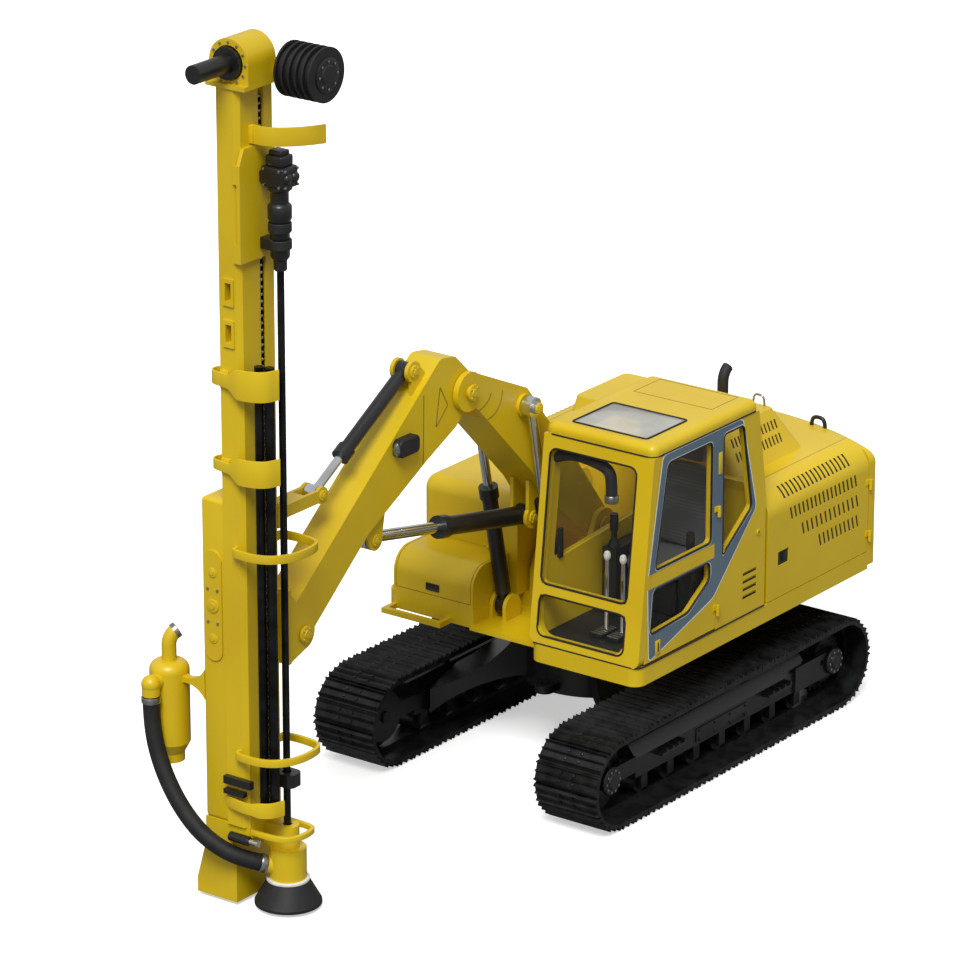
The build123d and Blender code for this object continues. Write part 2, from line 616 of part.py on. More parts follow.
with BuildPart() as exhaust:
    with BuildLine() as pipe_path:
        l1 = Line((*EXHAUST, HOOD_HIGH), (*EXHAUST, HOOD_HIGH + 130))
        TangentArc(l1 @ 1, (EXHAUST[0] - 60, EXHAUST[1], HOOD_HIGH + 235), tangent=l1 % 1)
    with BuildSketch(Plane(origin=(*EXHAUST, HOOD_HIGH), z_dir=(0, 0, 1))):
        Circle(42)
    sweep(path=pipe_path.wires()[0])
write(exhaust, "exhaust")

with BuildPart() as tank:
    block((BAY_FRONT + 20, 520), (-HALF_WIDTH, RIGHT_EDGE - 20), (DECK_HIGH, 1900))
    fillet(tank.edges().filter_by(Axis.Y).group_by(Axis.Z)[-1], 110)
    fillet(tank.edges().filter_by(Axis.X).group_by(Axis.Z)[-1].sort_by(Axis.Y)[0], 80)
write(tank, "tank")

# Toolbox ahead of the tank, with a lid that curves from the top down the front
BOX_Y = (-1150.0, RIGHT_EDGE - 100)
BOX_X = (526.0, RIGHT_FRONT)
BOX_HIGH = 1460.0
BOX_ROUND = 170.0
BOX_END = 20.0
LID_SHELL = 25.0
LID_LOW = 1180.0
LID_HINGE = (BOX_X[0] + 23, BOX_HIGH + HINGE_OUT)
LID_HINGE_Y = (-1060.0, -590.0)
with BuildPart() as toolbox:
    for y in ((BOX_Y[0], BOX_Y[0] + BOX_END), (BOX_Y[1] - BOX_END, BOX_Y[1])):
        with BuildSketch(Plane.XZ.offset(-y[1])) as end_plate:
            with BuildLine():
                Polyline((BOX_X[1], DECK_HIGH), (BOX_X[0], DECK_HIGH), (BOX_X[0], BOX_HIGH), (BOX_X[1] - BOX_ROUND, BOX_HIGH))
                RadiusArc((BOX_X[1] - BOX_ROUND, BOX_HIGH), (BOX_X[1], BOX_HIGH - BOX_ROUND), BOX_ROUND)
                Line((BOX_X[1], BOX_HIGH - BOX_ROUND), (BOX_X[1], DECK_HIGH))
            make_face()
        extrude(end_plate.sketch, amount=BOX_END)
    block((BOX_X[0], BOX_X[0] + 20), BOX_Y, (DECK_HIGH, BOX_HIGH))
    block((BOX_X[1] - LID_SHELL, BOX_X[1]), BOX_Y, (DECK_HIGH, LID_LOW - SEAM))
    block(BOX_X, BOX_Y, (DECK_HIGH, DECK_HIGH + 15))
    lid_hinge(LID_HINGE, LID_HINGE_Y, "fixed")
write(toolbox, "toolbox")

LID_Y = (BOX_Y[0] + BOX_END + SEAM, BOX_Y[1] - BOX_END - SEAM)
with BuildPart() as lid:
    with BuildSketch(Plane.XZ.offset(-LID_Y[1])) as lid_profile:
        with BuildLine():
            Line((BOX_X[0] + 26, BOX_HIGH), (BOX_X[1] - BOX_ROUND, BOX_HIGH))
            RadiusArc((BOX_X[1] - BOX_ROUND, BOX_HIGH), (BOX_X[1], BOX_HIGH - BOX_ROUND), BOX_ROUND)
            Polyline(
                (BOX_X[1], BOX_HIGH - BOX_ROUND),
                (BOX_X[1], LID_LOW),
                (BOX_X[1] - LID_SHELL, LID_LOW),
                (BOX_X[1] - LID_SHELL, BOX_HIGH - BOX_ROUND),
            )
            RadiusArc(
                (BOX_X[1] - LID_SHELL, BOX_HIGH - BOX_ROUND),
                (BOX_X[1] - BOX_ROUND, BOX_HIGH - LID_SHELL),
                -(BOX_ROUND - LID_SHELL),
            )
            Polyline(
                (BOX_X[1] - BOX_ROUND, BOX_HIGH - LID_SHELL),
                (BOX_X[0] + 26, BOX_HIGH - LID_SHELL),
                (BOX_X[0] + 26, BOX_HIGH),
            )
        make_face()
    extrude(amount=LID_Y[1] - LID_Y[0])
    lid_hinge(LID_HINGE, LID_HINGE_Y, "lid")
write(lid, "toolbox_lid")

# Cab panels
LEAN = CAB_LEAN / (CAB_HIGH - DECK_HIGH)


def front_x(z):
    """X of the cab's leaning front face at a height."""
    return CAB_FRONT - LEAN * (z - DECK_HIGH)


def leaning(z, back):
    return (front_x(z) - back, z)


CAB_MID = (CAB_RIGHT + HALF_WIDTH) / 2
LEAN_STRETCH = hypot(1, LEAN)
FRONT_PLANE = Plane(origin=(front_x(DECK_HIGH), 0, DECK_HIGH), x_dir=(0, 1, 0), z_dir=(1, 0, LEAN))
# Front panes. Columns: low Z, high Z, rounding below, rounding above
FRONT_PANES = ((1205.0, 1510.0, 110.0, 25.0), (1590.0, 2585.0, 25.0, 80.0))
PANE_RIGHT = CAB_RIGHT + 62
PANE_LEFT = HALF_WIDTH - 140
GLASS_BACK = 30.0


def front_pane(plane, low, high, round_low, round_high):
    """A front pane's outline, its lower and upper corners rounded apart."""
    with BuildSketch(plane) as pane:
        with BuildLine():
            bottom, top = ((z - DECK_HIGH) * LEAN_STRETCH for z in (low, high))
            Polyline((PANE_RIGHT, bottom), (PANE_LEFT, bottom), (PANE_LEFT, top), (PANE_RIGHT, top), close=True)
        make_face()
        fillet(pane.vertices().group_by(Axis.Y)[0], round_low)
        fillet(pane.vertices().group_by(Axis.Y)[-1], round_high)
    return pane.sketch


with BuildPart() as cab_front:
    side_plate(
        [
            leaning(DECK_HIGH, PILLAR_DEPTH),
            leaning(DECK_HIGH, 0),
            leaning(ROOF_LOW, 0),
            leaning(ROOF_LOW, PILLAR_DEPTH),
        ],
        (CAB_RIGHT, HALF_WIDTH),
    )
    fillet(cab_front.faces().sort_by(Axis.X)[-1].edges().filter_by(Axis.Y, reverse=True), CORNER_ROUND)
    for pane in FRONT_PANES:
        extrude(front_pane(FRONT_PLANE.offset(-2 * PILLAR_DEPTH), *pane), amount=3 * PILLAR_DEPTH, mode=Mode.SUBTRACT)
write(cab_front, "cab_front")

WALL_BACK = CAB_REAR + CAB_WALL
REAR_RUN = (CAB_TOP_REAR - CAB_REAR) / (ROOF_LOW - BAY_HIGH)
SIDE_REAR = ((CAB_TOP_REAR, ROOF_LOW), (CAB_REAR, BAY_HIGH), (CAB_REAR, DECK_HIGH))
RIGHT_PANE = [
    (-170, 1780), leaning(1700, PILLAR_DEPTH + 90), leaning(2600, PILLAR_DEPTH + 90), (-170, 2600)
]


def rear_x(z, inside):
    """X of the cab's rear face above the engine deck, some way in from the outside."""
    return CAB_REAR + inside + REAR_RUN * (z - BAY_HIGH)


with BuildPart() as cab_right:
    front_edge = [leaning(DECK_HIGH, PILLAR_DEPTH), leaning(ROOF_LOW, PILLAR_DEPTH)]
    side_plate([*front_edge, *SIDE_REAR], (CAB_RIGHT, CAB_RIGHT + CAB_WALL))
    side_plate(RIGHT_PANE, (CAB_RIGHT - 10, CAB_RIGHT + CAB_WALL + 10), rounding=60, mode=Mode.SUBTRACT)
write(cab_right, "cab_right_wall")

REAR_PANE = ((CAB_RIGHT + 140, LEFT_WALL - 90), (2080.0, 2580.0))
REAR_GLASS_BACK = 22.0
with BuildPart() as cab_rear:
    inside = [(x + CAB_WALL, z) for x, z in SIDE_REAR]
    side_plate([*SIDE_REAR, *reversed(inside)], (CAB_RIGHT + CAB_WALL, LEFT_WALL))
    (pane_right, pane_left), (pane_low, pane_high) = REAR_PANE
    cross_plate(
        [(pane_right, pane_low), (pane_left, pane_low), (pane_left, pane_high), (pane_right, pane_high)],
        (CAB_REAR - 10, CAB_TOP_REAR + 2 * CAB_WALL),
        mode=Mode.SUBTRACT,
    )
write(cab_rear, "cab_rear_wall")

QUARTER = [(160, 1690), (160, 2620), (-95, 2620), (-215, 1960)]
QUARTER_ROUND = 35.0
LOUVRE_X = (-290.0, -110.0)
LOUVRE_Z = (1270.0, 1330.0, 1390.0, 1450.0)
with BuildPart() as cab_left:
    side_plate([(B_PILLAR, DECK_HIGH), (B_PILLAR, ROOF_LOW), *SIDE_REAR], (LEFT_WALL, HALF_WIDTH))
    side_plate(QUARTER, (LEFT_WALL - 10, HALF_WIDTH + 10), rounding=QUARTER_ROUND, mode=Mode.SUBTRACT)
    door_hinge(B_PILLAR - 2, HALF_WIDTH + HINGE_OUT, 1, CAB_HINGE_Z, "fixed")
    # Louvres are shallow grooves that open downwards, and a round catch sits above them
    for z in LOUVRE_Z:
        cross_plate(
            [(HALF_WIDTH + 1, z), (HALF_WIDTH + 1, z + 30), (HALF_WIDTH - 18, z)], LOUVRE_X, mode=Mode.SUBTRACT
        )
    cross_pin((-300, 1740), 22, (HALF_WIDTH - 5, HALF_WIDTH + 8))
write(cab_left, "cab_left_wall")

HATCH = ((420.0, 930.0), (CAB_RIGHT + 170, HALF_WIDTH - 140))
with BuildPart() as cab_roof:
    block((CAB_TOP_REAR, front_x(ROOF_LOW)), (CAB_RIGHT, HALF_WIDTH), (ROOF_LOW, CAB_HIGH))
    fillet(cab_roof.edges().filter_by(Axis.Z), CORNER_ROUND)
    fillet(cab_roof.faces().sort_by(Axis.Z)[-1].edges(), ROOF_ROUND)
    block(*HATCH, (ROOF_LOW - 5, CAB_HIGH + 5), mode=Mode.SUBTRACT)
write(cab_roof, "cab_roof")

with BuildPart() as cab_floor:
    floor_front = front_x(DECK_HIGH + 40) - PILLAR_DEPTH
    block((WALL_BACK, floor_front), (CAB_RIGHT + CAB_WALL, LEFT_WALL), (DECK_HIGH, DECK_HIGH + 40))
write(cab_floor, "cab_floor")

with BuildPart() as glass:
    for pane in FRONT_PANES:
        extrude(front_pane(FRONT_PLANE.offset(-GLASS_BACK - GLASS), *pane), amount=GLASS)
    mid_right = CAB_RIGHT + CAB_WALL / 2
    side_plate(RIGHT_PANE, (mid_right, mid_right + GLASS), rounding=60)
    with BuildSketch(Plane.XZ.offset(-pane_left)) as rear_strip:
        with BuildLine():
            Polyline(
                (rear_x(pane_low, REAR_GLASS_BACK), pane_low),
                (rear_x(pane_low, REAR_GLASS_BACK + GLASS), pane_low),
                (rear_x(pane_high, REAR_GLASS_BACK + GLASS), pane_high),
                (rear_x(pane_high, REAR_GLASS_BACK), pane_high),
                close=True,
            )
        make_face()
    extrude(rear_strip.sketch, amount=pane_left - pane_right)
    side_plate(QUARTER, (HALF_WIDTH - 25, HALF_WIDTH - 25 + GLASS), rounding=QUARTER_ROUND)
    block(*HATCH, (CAB_HIGH - 25, CAB_HIGH - 25 + GLASS))
write(glass, "cab_glass")

# Cab door, hinged behind at the B pillar
DOOR_REAR = B_PILLAR + SEAM
DOOR_Z = (DECK_HIGH + 20, ROOF_LOW - SEAM)
PANE_BACK = PILLAR_DEPTH + 45
UPPER_PANE = [(305, 1836), leaning(1836, PANE_BACK), leaning(2605, PANE_BACK + 60), (305, 2605)]
LOWER_PANE = [(320, 1695), (315, 1560), (590, 1385), leaning(1362, PANE_BACK), leaning(1695, PANE_BACK)]
with BuildPart() as door:
    side_plate(
        [
            (DOOR_REAR, DOOR_Z[0]),
            leaning(DOOR_Z[0], PILLAR_DEPTH + SEAM),
            leaning(DOOR_Z[1], PILLAR_DEPTH + SEAM),
            (DOOR_REAR, DOOR_Z[1]),
        ],
        (LEFT_WALL, HALF_WIDTH),
    )
    for pane in (UPPER_PANE, LOWER_PANE):
        side_plate(pane, (LEFT_WALL - 10, HALF_WIDTH + 10), rounding=40, mode=Mode.SUBTRACT)
    door_hinge(B_PILLAR - 2, HALF_WIDTH + HINGE_OUT, 1, CAB_HINGE_Z, "door")
write(door, "cab_door")

with BuildPart() as door_glass:
    for pane in (UPPER_PANE, LOWER_PANE):
        side_plate(pane, (HALF_WIDTH - 25, HALF_WIDTH - 25 + GLASS), rounding=40)
write(door_glass, "door_glass")

FLOOR = DECK_HIGH + 40
with BuildPart() as seat:
    block((-120, 300), (CAB_MID - 170, CAB_MID + 170), (FLOOR, 1480))
    block((-130, 380), (CAB_MID - 250, CAB_MID + 250), (1480, 1620))
    side_plate([(-110, 1600), (20, 1600), (-70, 2250), (-180, 2250)], (CAB_MID - 240, CAB_MID + 240))
    side_plate([(-175, 2240), (-95, 2240), (-110, 2430), (-180, 2430)], (CAB_MID - 130, CAB_MID + 130))
write(seat, "seat")

with BuildPart() as controls:
    for end in (-1, 1):
        y = sorted((CAB_MID + end * 275, CAB_MID + end * 395))
        block((-100, 420), y, (FLOOR, 1650))
        upright(360, CAB_MID + end * 335, 14, (1640, 1820))
        upright(360, CAB_MID + end * 335, 30, (1800, 1900))
    for end in (-1, 1):
        upright(820, CAB_MID + end * 70, 14, (FLOOR, 1760))
        block((760, 960), (CAB_MID + end * 70 - 55, CAB_MID + end * 70 + 55), (FLOOR, FLOOR + 30))
write(controls, "controls")

# Boom
ARM_SIDE = (BOOM_Y - ARM_WIDTH / 2, BOOM_Y + ARM_WIDTH / 2)
FORK = (ARM_SIDE[0] - SIDE_GAP, ARM_SIDE[1] + SIDE_GAP)


def ears(at, radius, root, inner, plate=EAR_PLATE):
    """Two plates with a round eye, one each side of the boom's plane."""
    for end in (-1, 1):
        y = sorted((BOOM_Y + end * inner, BOOM_Y + end * (inner + plate)))
        cross_pin(at, radius, y)
        side_plate(root, y)


with BuildPart() as boom:
    side_plate(
        [
            (5, 1755),
            (470, 2360),
            (710, 2620),
            (1000, 2975),
            (1640, 3265),
            (1800, 3130),
            (1590, 2975),
            (800, 2180),
            (640, 1970),
            (180, 1590),
        ],
        BOOM_SIDE,
        rounding=70,
    )
    cross_pin(BOOM_FOOT, 125, BOOM_SIDE)
    cross_pin(ARM_PIVOT, 145, BOOM_SIDE)
    cross_pin(BOOM_CYLINDER[1], 85, (BOOM_SIDE[0] - 24, BOOM_SIDE[1] + 24))
    cross_pin(ARM_PIVOT, 320, FORK, mode=Mode.SUBTRACT)
    cross_pin(ARM_PIVOT, ARM_PIN, (BOOM_SIDE[0] - 25, BOOM_SIDE[1] + 25))
    cross_pin(BOOM_FOOT, FOOT_PIN + PIN_GAP, BOOM_SIDE, mode=Mode.SUBTRACT)
    ears(ARM_CYLINDER[0], 85, [(710, 1900), (650, 2000), (800, 2200), (845, 2200), (845, 1900)], 55)
    cross_pin(ARM_CYLINDER[0], HYDRAULICS["arm"][4], (BOOM_Y - 85, BOOM_Y + 85))
write(boom, "boom")

with BuildPart() as boom_barrels:
    for across in (-BOOM_CYLINDER_OFFSET, BOOM_CYLINDER_OFFSET):
        add_barrel("boom", BOOM_CYLINDER, BOOM_Y + across)
write(boom_barrels, "boom_barrels")

with BuildPart() as boom_rods:
    for end in (-1, 1):
        add_rod("boom", BOOM_CYLINDER, BOOM_Y + end * BOOM_CYLINDER_OFFSET, cap=end * 30)
write(boom_rods, "boom_rods")

with BuildPart() as arm:
    side_plate(
        [
            (3690, 1900),
            (3640, 2105),
            (1960, 3440),
            (1790, 3415),
            (1600, 3235),
            (1560, 3080),
            (1780, 2890),
            (2130, 2730),
            (2790, 2390),
            (3480, 1830),
        ],
        ARM_SIDE,
        rounding=75,
    )
    cross_pin(MAST_PIVOT, 130, ARM_SIDE)
    cross_pin(ARM_PIVOT, ARM_PIN + PIN_GAP, ARM_SIDE, mode=Mode.SUBTRACT)
    cross_pin(MAST_PIVOT, ARM_PIN + PIN_GAP, ARM_SIDE, mode=Mode.SUBTRACT)
    ears(ARM_CYLINDER[1], 75, [(2590, 2290), (2540, 2540), (2800, 2400), (2735, 2290)], 60)
    ears(TILT_CYLINDER[0], 75, [(2060, 3350), (2150, 3440), (2225, 3400), (2225, 3150), (2110, 3200)], 50)
    cross_pin(TILT_CYLINDER[0], HYDRAULICS["tilt"][4], (BOOM_Y - 80, BOOM_Y + 80))
write(arm, "arm")

# Work lamp on the arm's left side: a rounded housing
LAMP_AT = (2400.0, 2930.0)
LAMP_SIZE = (230.0, 70.0, 130.0)
with BuildPart() as lamp:
    with Locations((LAMP_AT[0], ARM_SIDE[1] + LAMP_SIZE[1] / 2, LAMP_AT[1])):
        Box(*LAMP_SIZE)
    fillet(lamp.edges().filter_by(Axis.Y), 40)
    fillet(lamp.faces().sort_by(Axis.Y)[-1].edges(), 14)
write(lamp, "work_lamp")

with BuildPart() as arm_barrel:
    add_barrel("arm", ARM_CYLINDER, BOOM_Y)
write(arm_barrel, "arm_barrel")
with BuildPart() as arm_rod:
    add_rod("arm", ARM_CYLINDER, BOOM_Y)
write(arm_rod, "arm_rod")
with BuildPart() as tilt_barrel:
    add_barrel("tilt", TILT_CYLINDER, BOOM_Y)
write(tilt_barrel, "tilt_barrel")
with BuildPart() as tilt_rod:
    add_rod("tilt", TILT_CYLINDER, BOOM_Y)
write(tilt_rod, "tilt_rod")

# Mast
with BuildPart() as mast_bracket:
    back_plate = (MAST_PIVOT[0] + 138, BEAM_REAR)
    block(back_plate, (FORK[0] - 30, FORK[1] + 30), (1720, 2260))
    for y in ((FORK[0] - 30, FORK[0]), (FORK[1], FORK[1] + 30)):
        side_plate([(back_plate[1], 1720), (back_plate[1], 2260), (3520, 2000), (3500, 1800)], y)
        cross_pin(MAST_PIVOT, 120, y)
    cross_pin(MAST_PIVOT, ARM_PIN, (FORK[0] - 45, FORK[1] + 45))
    # Link from the beam's back to the tilt cylinder, its fork open for the rod's eye
    eye = TILT_CYLINDER[1]
    block((eye[0] + 170, BEAM_REAR), (BOOM_Y - 80, BOOM_Y + 80), (eye[1] - 45, eye[1] + 45))
    for end in (-1, 1):
        y = sorted((BOOM_Y + end * 51, BOOM_Y + end * 80))
        block((eye[0], eye[0] + 180), y, (eye[1] - 45, eye[1] + 45))
        cross_pin(eye, 62, y)
    block((BEAM_REAR - 25, BEAM_REAR), (BEAM_RIGHT, BEAM_LEFT), (eye[1] - 90, eye[1] + 90))
write(mast_bracket, "mast_bracket")

GROOVE = (3840.0, 3900.0)
GROOVE_DEPTH = 45.0
BEAM_BEVEL = 34.0
with BuildPart() as feed_beam:
    block((BEAM_REAR, BEAM_FRONT), (BEAM_RIGHT, BEAM_LEFT), (BEAM_LOW, BEAM_HIGH))
    chamfer(feed_beam.edges().filter_by(Axis.Z).sort_by(Axis.X)[:2], 12)
    chamfer(feed_beam.edges().filter_by(Axis.Z).group_by(Axis.X)[-1].sort_by(Axis.Y)[-1], BEAM_BEVEL)
    block(GROOVE, (BEAM_LEFT - GROOVE_DEPTH, BEAM_LEFT + 1), (BEAM_LOW - 1, BEAM_HIGH + 1), mode=Mode.SUBTRACT)
    for z in (4370, 4080):
        block((BEAM_FRONT - 5, BEAM_FRONT + 14), (-135, -45), (z, z + 190))
        block((BEAM_FRONT - 60, BEAM_FRONT + 20), (-115, -65), (z + 30, z + 160), mode=Mode.SUBTRACT)
write(feed_beam, "feed_beam")

CHAIN_PITCH = 152.4
with BuildPart() as feed_chain:
    chain_y = BEAM_LEFT - GROOVE_DEPTH
    for x in (GROOVE[0] + 8, GROOVE[1] - 20):
        block((x, x + 12), (chain_y, chain_y + 36), (BEAM_LOW, BEAM_HIGH - 10))
    for link in range(int((BEAM_HIGH - BEAM_LOW - 60) / CHAIN_PITCH)):
        z = BEAM_LOW + 20 + link * CHAIN_PITCH
        block((GROOVE[0] + 10, GROOVE[1] - 10), (chain_y + 8, chain_y + 28), (z, z + 22))
write(feed_chain, "feed_chain")

with BuildPart() as cradle:
    block((CRADLE_REAR, CRADLE_FRONT), (CRADLE_RIGHT, BEAM_RIGHT), (BEAM_LOW, CRADLE_HIGH))
    with BuildSketch(Plane.YZ.offset(CRADLE_FRONT - 2)) as plate:
        with Locations((-280, 2190)):
            SlotOverall(800, 150, rotation=90)
        with Locations((-280, 1950), (-280, 2430)):
            Circle(38, mode=Mode.SUBTRACT)
        with Locations((-280, 2190)):
            Circle(55, mode=Mode.SUBTRACT)
    extrude(amount=14)
write(cradle, "mast_cradle")

with BuildPart() as foot:
    cross_plate(
        [
            (CRADLE_RIGHT, BEAM_LOW),
            (BEAM_LEFT, BEAM_LOW),
            (BEAM_LEFT, 530),
            (-120, 430),
            (-120, FOOT_LOW),
            (CRADLE_RIGHT - 85, FOOT_LOW),
            (CRADLE_RIGHT - 85, 130),
            (CRADLE_RIGHT, 430),
        ],
        (CRADLE_REAR, CRADLE_FRONT),
    )
write(foot, "mast_foot")

DRUM_Y = (171.0, 470.0)
DRUM_AT = (3760.0, 5970.0)
with BuildPart() as head:
    block((BEAM_REAR - 10, BEAM_FRONT + 15), (BEAM_Y - HEAD_RADIUS, BEAM_Y + HEAD_RADIUS), (BEAM_HIGH, BEAM_HIGH + 30))
    block((3800, 4090), (BEAM_Y - HEAD_RADIUS, BEAM_Y + HEAD_RADIUS), (BEAM_HIGH, HEAD_Z))
    fore_aft(BEAM_Y, HEAD_Z, HEAD_RADIUS, (3800, 4090))
    fore_aft(BEAM_Y, HEAD_Z, 120, (4070, 4095), mode=Mode.SUBTRACT)
    block((3730, 3810), (BEAM_Y + 60, DRUM_Y[0] - SIDE_GAP), (DRUM_AT[1] - 40, DRUM_AT[1] + 40))
    cross_pin(DRUM_AT, 30, (DRUM_Y[0] - SIDE_GAP - 1, DRUM_Y[1] - 40))
write(head, "mast_head")

with BuildPart() as motor:
    fore_aft(BEAM_Y, HEAD_Z, 112, (4070, 4120))
    fore_aft(BEAM_Y, HEAD_Z, 65, (4110, MOTOR_FRONT))
write(motor, "feed_motor")

DRUM_RIBS = 6
with BuildPart() as drum:
    cross_pin(DRUM_AT, 160, DRUM_Y)
    for rib in range(DRUM_RIBS):
        y = DRUM_Y[0] + (DRUM_Y[1] - DRUM_Y[0] - 16) * rib / (DRUM_RIBS - 1)
        cross_pin(DRUM_AT, 188, (y, y + 16))
    cross_pin(DRUM_AT, 30 + PIN_GAP, (DRUM_Y[0] - 5, DRUM_Y[1] - 40 + PIN_GAP), mode=Mode.SUBTRACT)
write(drum, "hose_drum")

# Flat hooks in front of the spare rods, and tube hoops that keep the hoses clear of the drifter
bow = ThreePointArc((BEAM_FRONT + 6, -160), (BEAM_FRONT + 45, 40), (4000, 225))
bar = ThreePointArc((3985, 10), (3930, 230), (3690, 400))
HOOKS = ((3740.0, 215.0), (3135.0, 190.0), (735.0, 110.0))
with BuildPart() as hooks:
    for z, height in HOOKS:
        with BuildSketch(Plane.XY.offset(z)) as strip:
            SlotArc(bow, 12)
        extrude(strip.sketch, amount=height)
        block((BEAM_FRONT, BEAM_FRONT + 12), (-170, -100), (z, z + height))
    block((3960, BEAM_FRONT + 20), (BEAM_LEFT, 200), (725, 740))
    # Bar above the drifter that leads the hoses off the drum
    with BuildSketch(Plane.XY.offset(5480)) as bar_plan:
        SlotArc(bar, 14)
    extrude(bar_plan.sketch, amount=130)
    block((3960, 4000), (BEAM_LEFT, 30), (5480, 5610))
write(hooks, "rod_hooks")

HOOP_TUBE = 14.0
HOOP_Z = (2640.0, 1160.0)
RING_Z = 575.0
with BuildPart() as hoops:
    for z in HOOP_Z:
        with BuildLine() as hoop_path:
            FilletPolyline(
                (BEAM_FRONT, -60, z),
                (BEAM_FRONT + 50, -60, z),
                (BEAM_FRONT + 50, 200, z),
                (4010, 335, z),
                (3740, 335, z),
                (3670, 250, z),
                (3670, -20, z),
                (BEAM_REAR, -20, z),
                radius=18,
            )
        with BuildSketch(Plane(origin=(BEAM_FRONT, -60, z), z_dir=(1, 0, 0))):
            Circle(HOOP_TUBE)
        sweep(path=hoop_path.wires()[0])
    with BuildLine() as ring_path:
        FilletPolyline(
            (4070, BEAM_LEFT, RING_Z),
            (4070, 230, RING_Z),
            (3990, 320, RING_Z),
            (3800, 320, RING_Z),
            (3755, 260, RING_Z),
            (3755, BEAM_LEFT, RING_Z),
            radius=40,
        )
    with BuildSketch(Plane(origin=(4070, BEAM_LEFT, RING_Z), z_dir=(0, 1, 0))):
        Circle(HOOP_TUBE)
    sweep(path=ring_path.wires()[0])
write(hoops, "hose_hoops")

SPARE_RODS = ((4040.0, 90.0), (4015.0, 162.0))
SPARE_RADIUS = 32.0
with BuildPart() as spare:
    for x, y in SPARE_RODS:
        upright(x, y, SPARE_RADIUS, (740, 3960))
write(spare, "spare_rods")

GUIDE_HALF = 70.0
CLAMP = ((905.0, 1000.0), 240.0)
CENTRALISER = ((440.0, 610.0), 235.0)
# Jaws across the beam's front. Columns: low Y, high Y, low Z, high Z
JAWS = ((-175.0, 60.0, 930.0, 985.0), (-175.0, 0.0, 856.0, 890.0))
RAM_AT = (CRADLE_FRONT + 34.0, 535.0)
with BuildPart() as rod_guides:
    (low, high), reach = CLAMP
    block((DRILL_X - GUIDE_HALF, DRILL_X + GUIDE_HALF), (BEAM_LEFT, reach), (low, high))
    fillet(rod_guides.edges().filter_by(Axis.Z).group_by(Axis.Y)[-1], 50)
    upright(DRILL_X, DRILL_Y, GUIDE_BORE, (low - 1, high + 1), mode=Mode.SUBTRACT)
    for right, left, low, high in JAWS:
        block((BEAM_FRONT, BEAM_FRONT + 42), (right, left), (low, high))
    # Clamp ram on the foot's front
    cross_pin(RAM_AT, 34, (-140, 20))
    cross_pin(RAM_AT, 16, (15, 95))
    block((CRADLE_FRONT, RAM_AT[0]), (-110, -70), (RAM_AT[1] - 20, RAM_AT[1] + 20))
write(rod_guides, "rod_guides")

# Cyclone, suction hose and dust hood
CYCLONE = (4060.0, -720.0)
INLET_Z = 1560.0
HOSE_X = 4262.0
HOSE_HIGH = 1480.0
HOSE_ROUTE = (
    (HOSE_X, CYCLONE[1], HOSE_HIGH),
    (HOSE_X, CYCLONE[1], 1330.0),
    (4272.0, -680.0, 1120.0),
    (4278.0, -590.0, 910.0),
    (4272.0, -460.0, 710.0),
    (4245.0, -310.0, 545.0),
    (4180.0, -150.0, 430.0),
    (4075.0, -20.0, 360.0),
    (3985.0, 52.0, 325.0),
)
HOOD_OUTER = 130.0
HOOD_WALL = 12.0
HOOD_LOW = 195.0
HOOD_TOP = CENTRALISER[0][0]
SPIGOT_OUTER = HOSE_DIAMETER / 2 + 5
SPIGOT_INNER = HOSE_DIAMETER / 2 - 8
with BuildPart() as dust_hood:
    hood_inside = HOOD_OUTER - HOOD_WALL
    spigot = Plane(origin=HOSE_ROUTE[-1], z_dir=Vector(*HOSE_ROUTE[-1]) - Vector(*HOSE_ROUTE[-2]))
    upright(DRILL_X, DRILL_Y, HOOD_OUTER, (HOOD_LOW, HOOD_TOP))
    along(spigot, SPIGOT_OUTER, 0, HOOD_OUTER)
    upright(DRILL_X, DRILL_Y, hood_inside, (HOOD_LOW - 1, HOOD_TOP - HOOD_WALL), mode=Mode.SUBTRACT)
    along(spigot, SPIGOT_INNER, -1, HOOD_OUTER, mode=Mode.SUBTRACT)
    # Centraliser block on top, rounded away from the beam
    (low, high), reach = CENTRALISER
    with BuildSketch(Plane.XY.offset(low)) as centraliser:
        with BuildLine():
            Polyline((DRILL_X - GUIDE_HALF, BEAM_LEFT), (DRILL_X + GUIDE_HALF, BEAM_LEFT))
            Line((DRILL_X + GUIDE_HALF, BEAM_LEFT), (DRILL_X + GUIDE_HALF, reach - GUIDE_HALF))
            RadiusArc(
                (DRILL_X + GUIDE_HALF, reach - GUIDE_HALF), (DRILL_X - GUIDE_HALF, reach - GUIDE_HALF), -GUIDE_HALF
            )
            Line((DRILL_X - GUIDE_HALF, reach - GUIDE_HALF), (DRILL_X - GUIDE_HALF, BEAM_LEFT))
        make_face()
    extrude(centraliser.sketch, amount=high - low)
    upright(DRILL_X, DRILL_Y, GUIDE_BORE, (HOOD_LOW, high + 1), mode=Mode.SUBTRACT)
write(dust_hood, "dust_hood")

with BuildPart() as skirt:
    with BuildSketch(Plane.XZ.offset(-DRILL_Y)) as section:
        with BuildLine():
            Polyline(
                (DRILL_X + hood_inside, HOOD_LOW),
                (DRILL_X + 150, HOOD_LOW),
                (DRILL_X + 235, 45),
                (DRILL_X + 235, FOOT_LOW),
                (DRILL_X + 215, FOOT_LOW),
                (DRILL_X + hood_inside, HOOD_LOW - 17),
                close=True,
            )
        make_face()
    revolve(axis=Axis((DRILL_X, DRILL_Y, 0), (0, 0, 1)))
write(skirt, "hood_skirt")

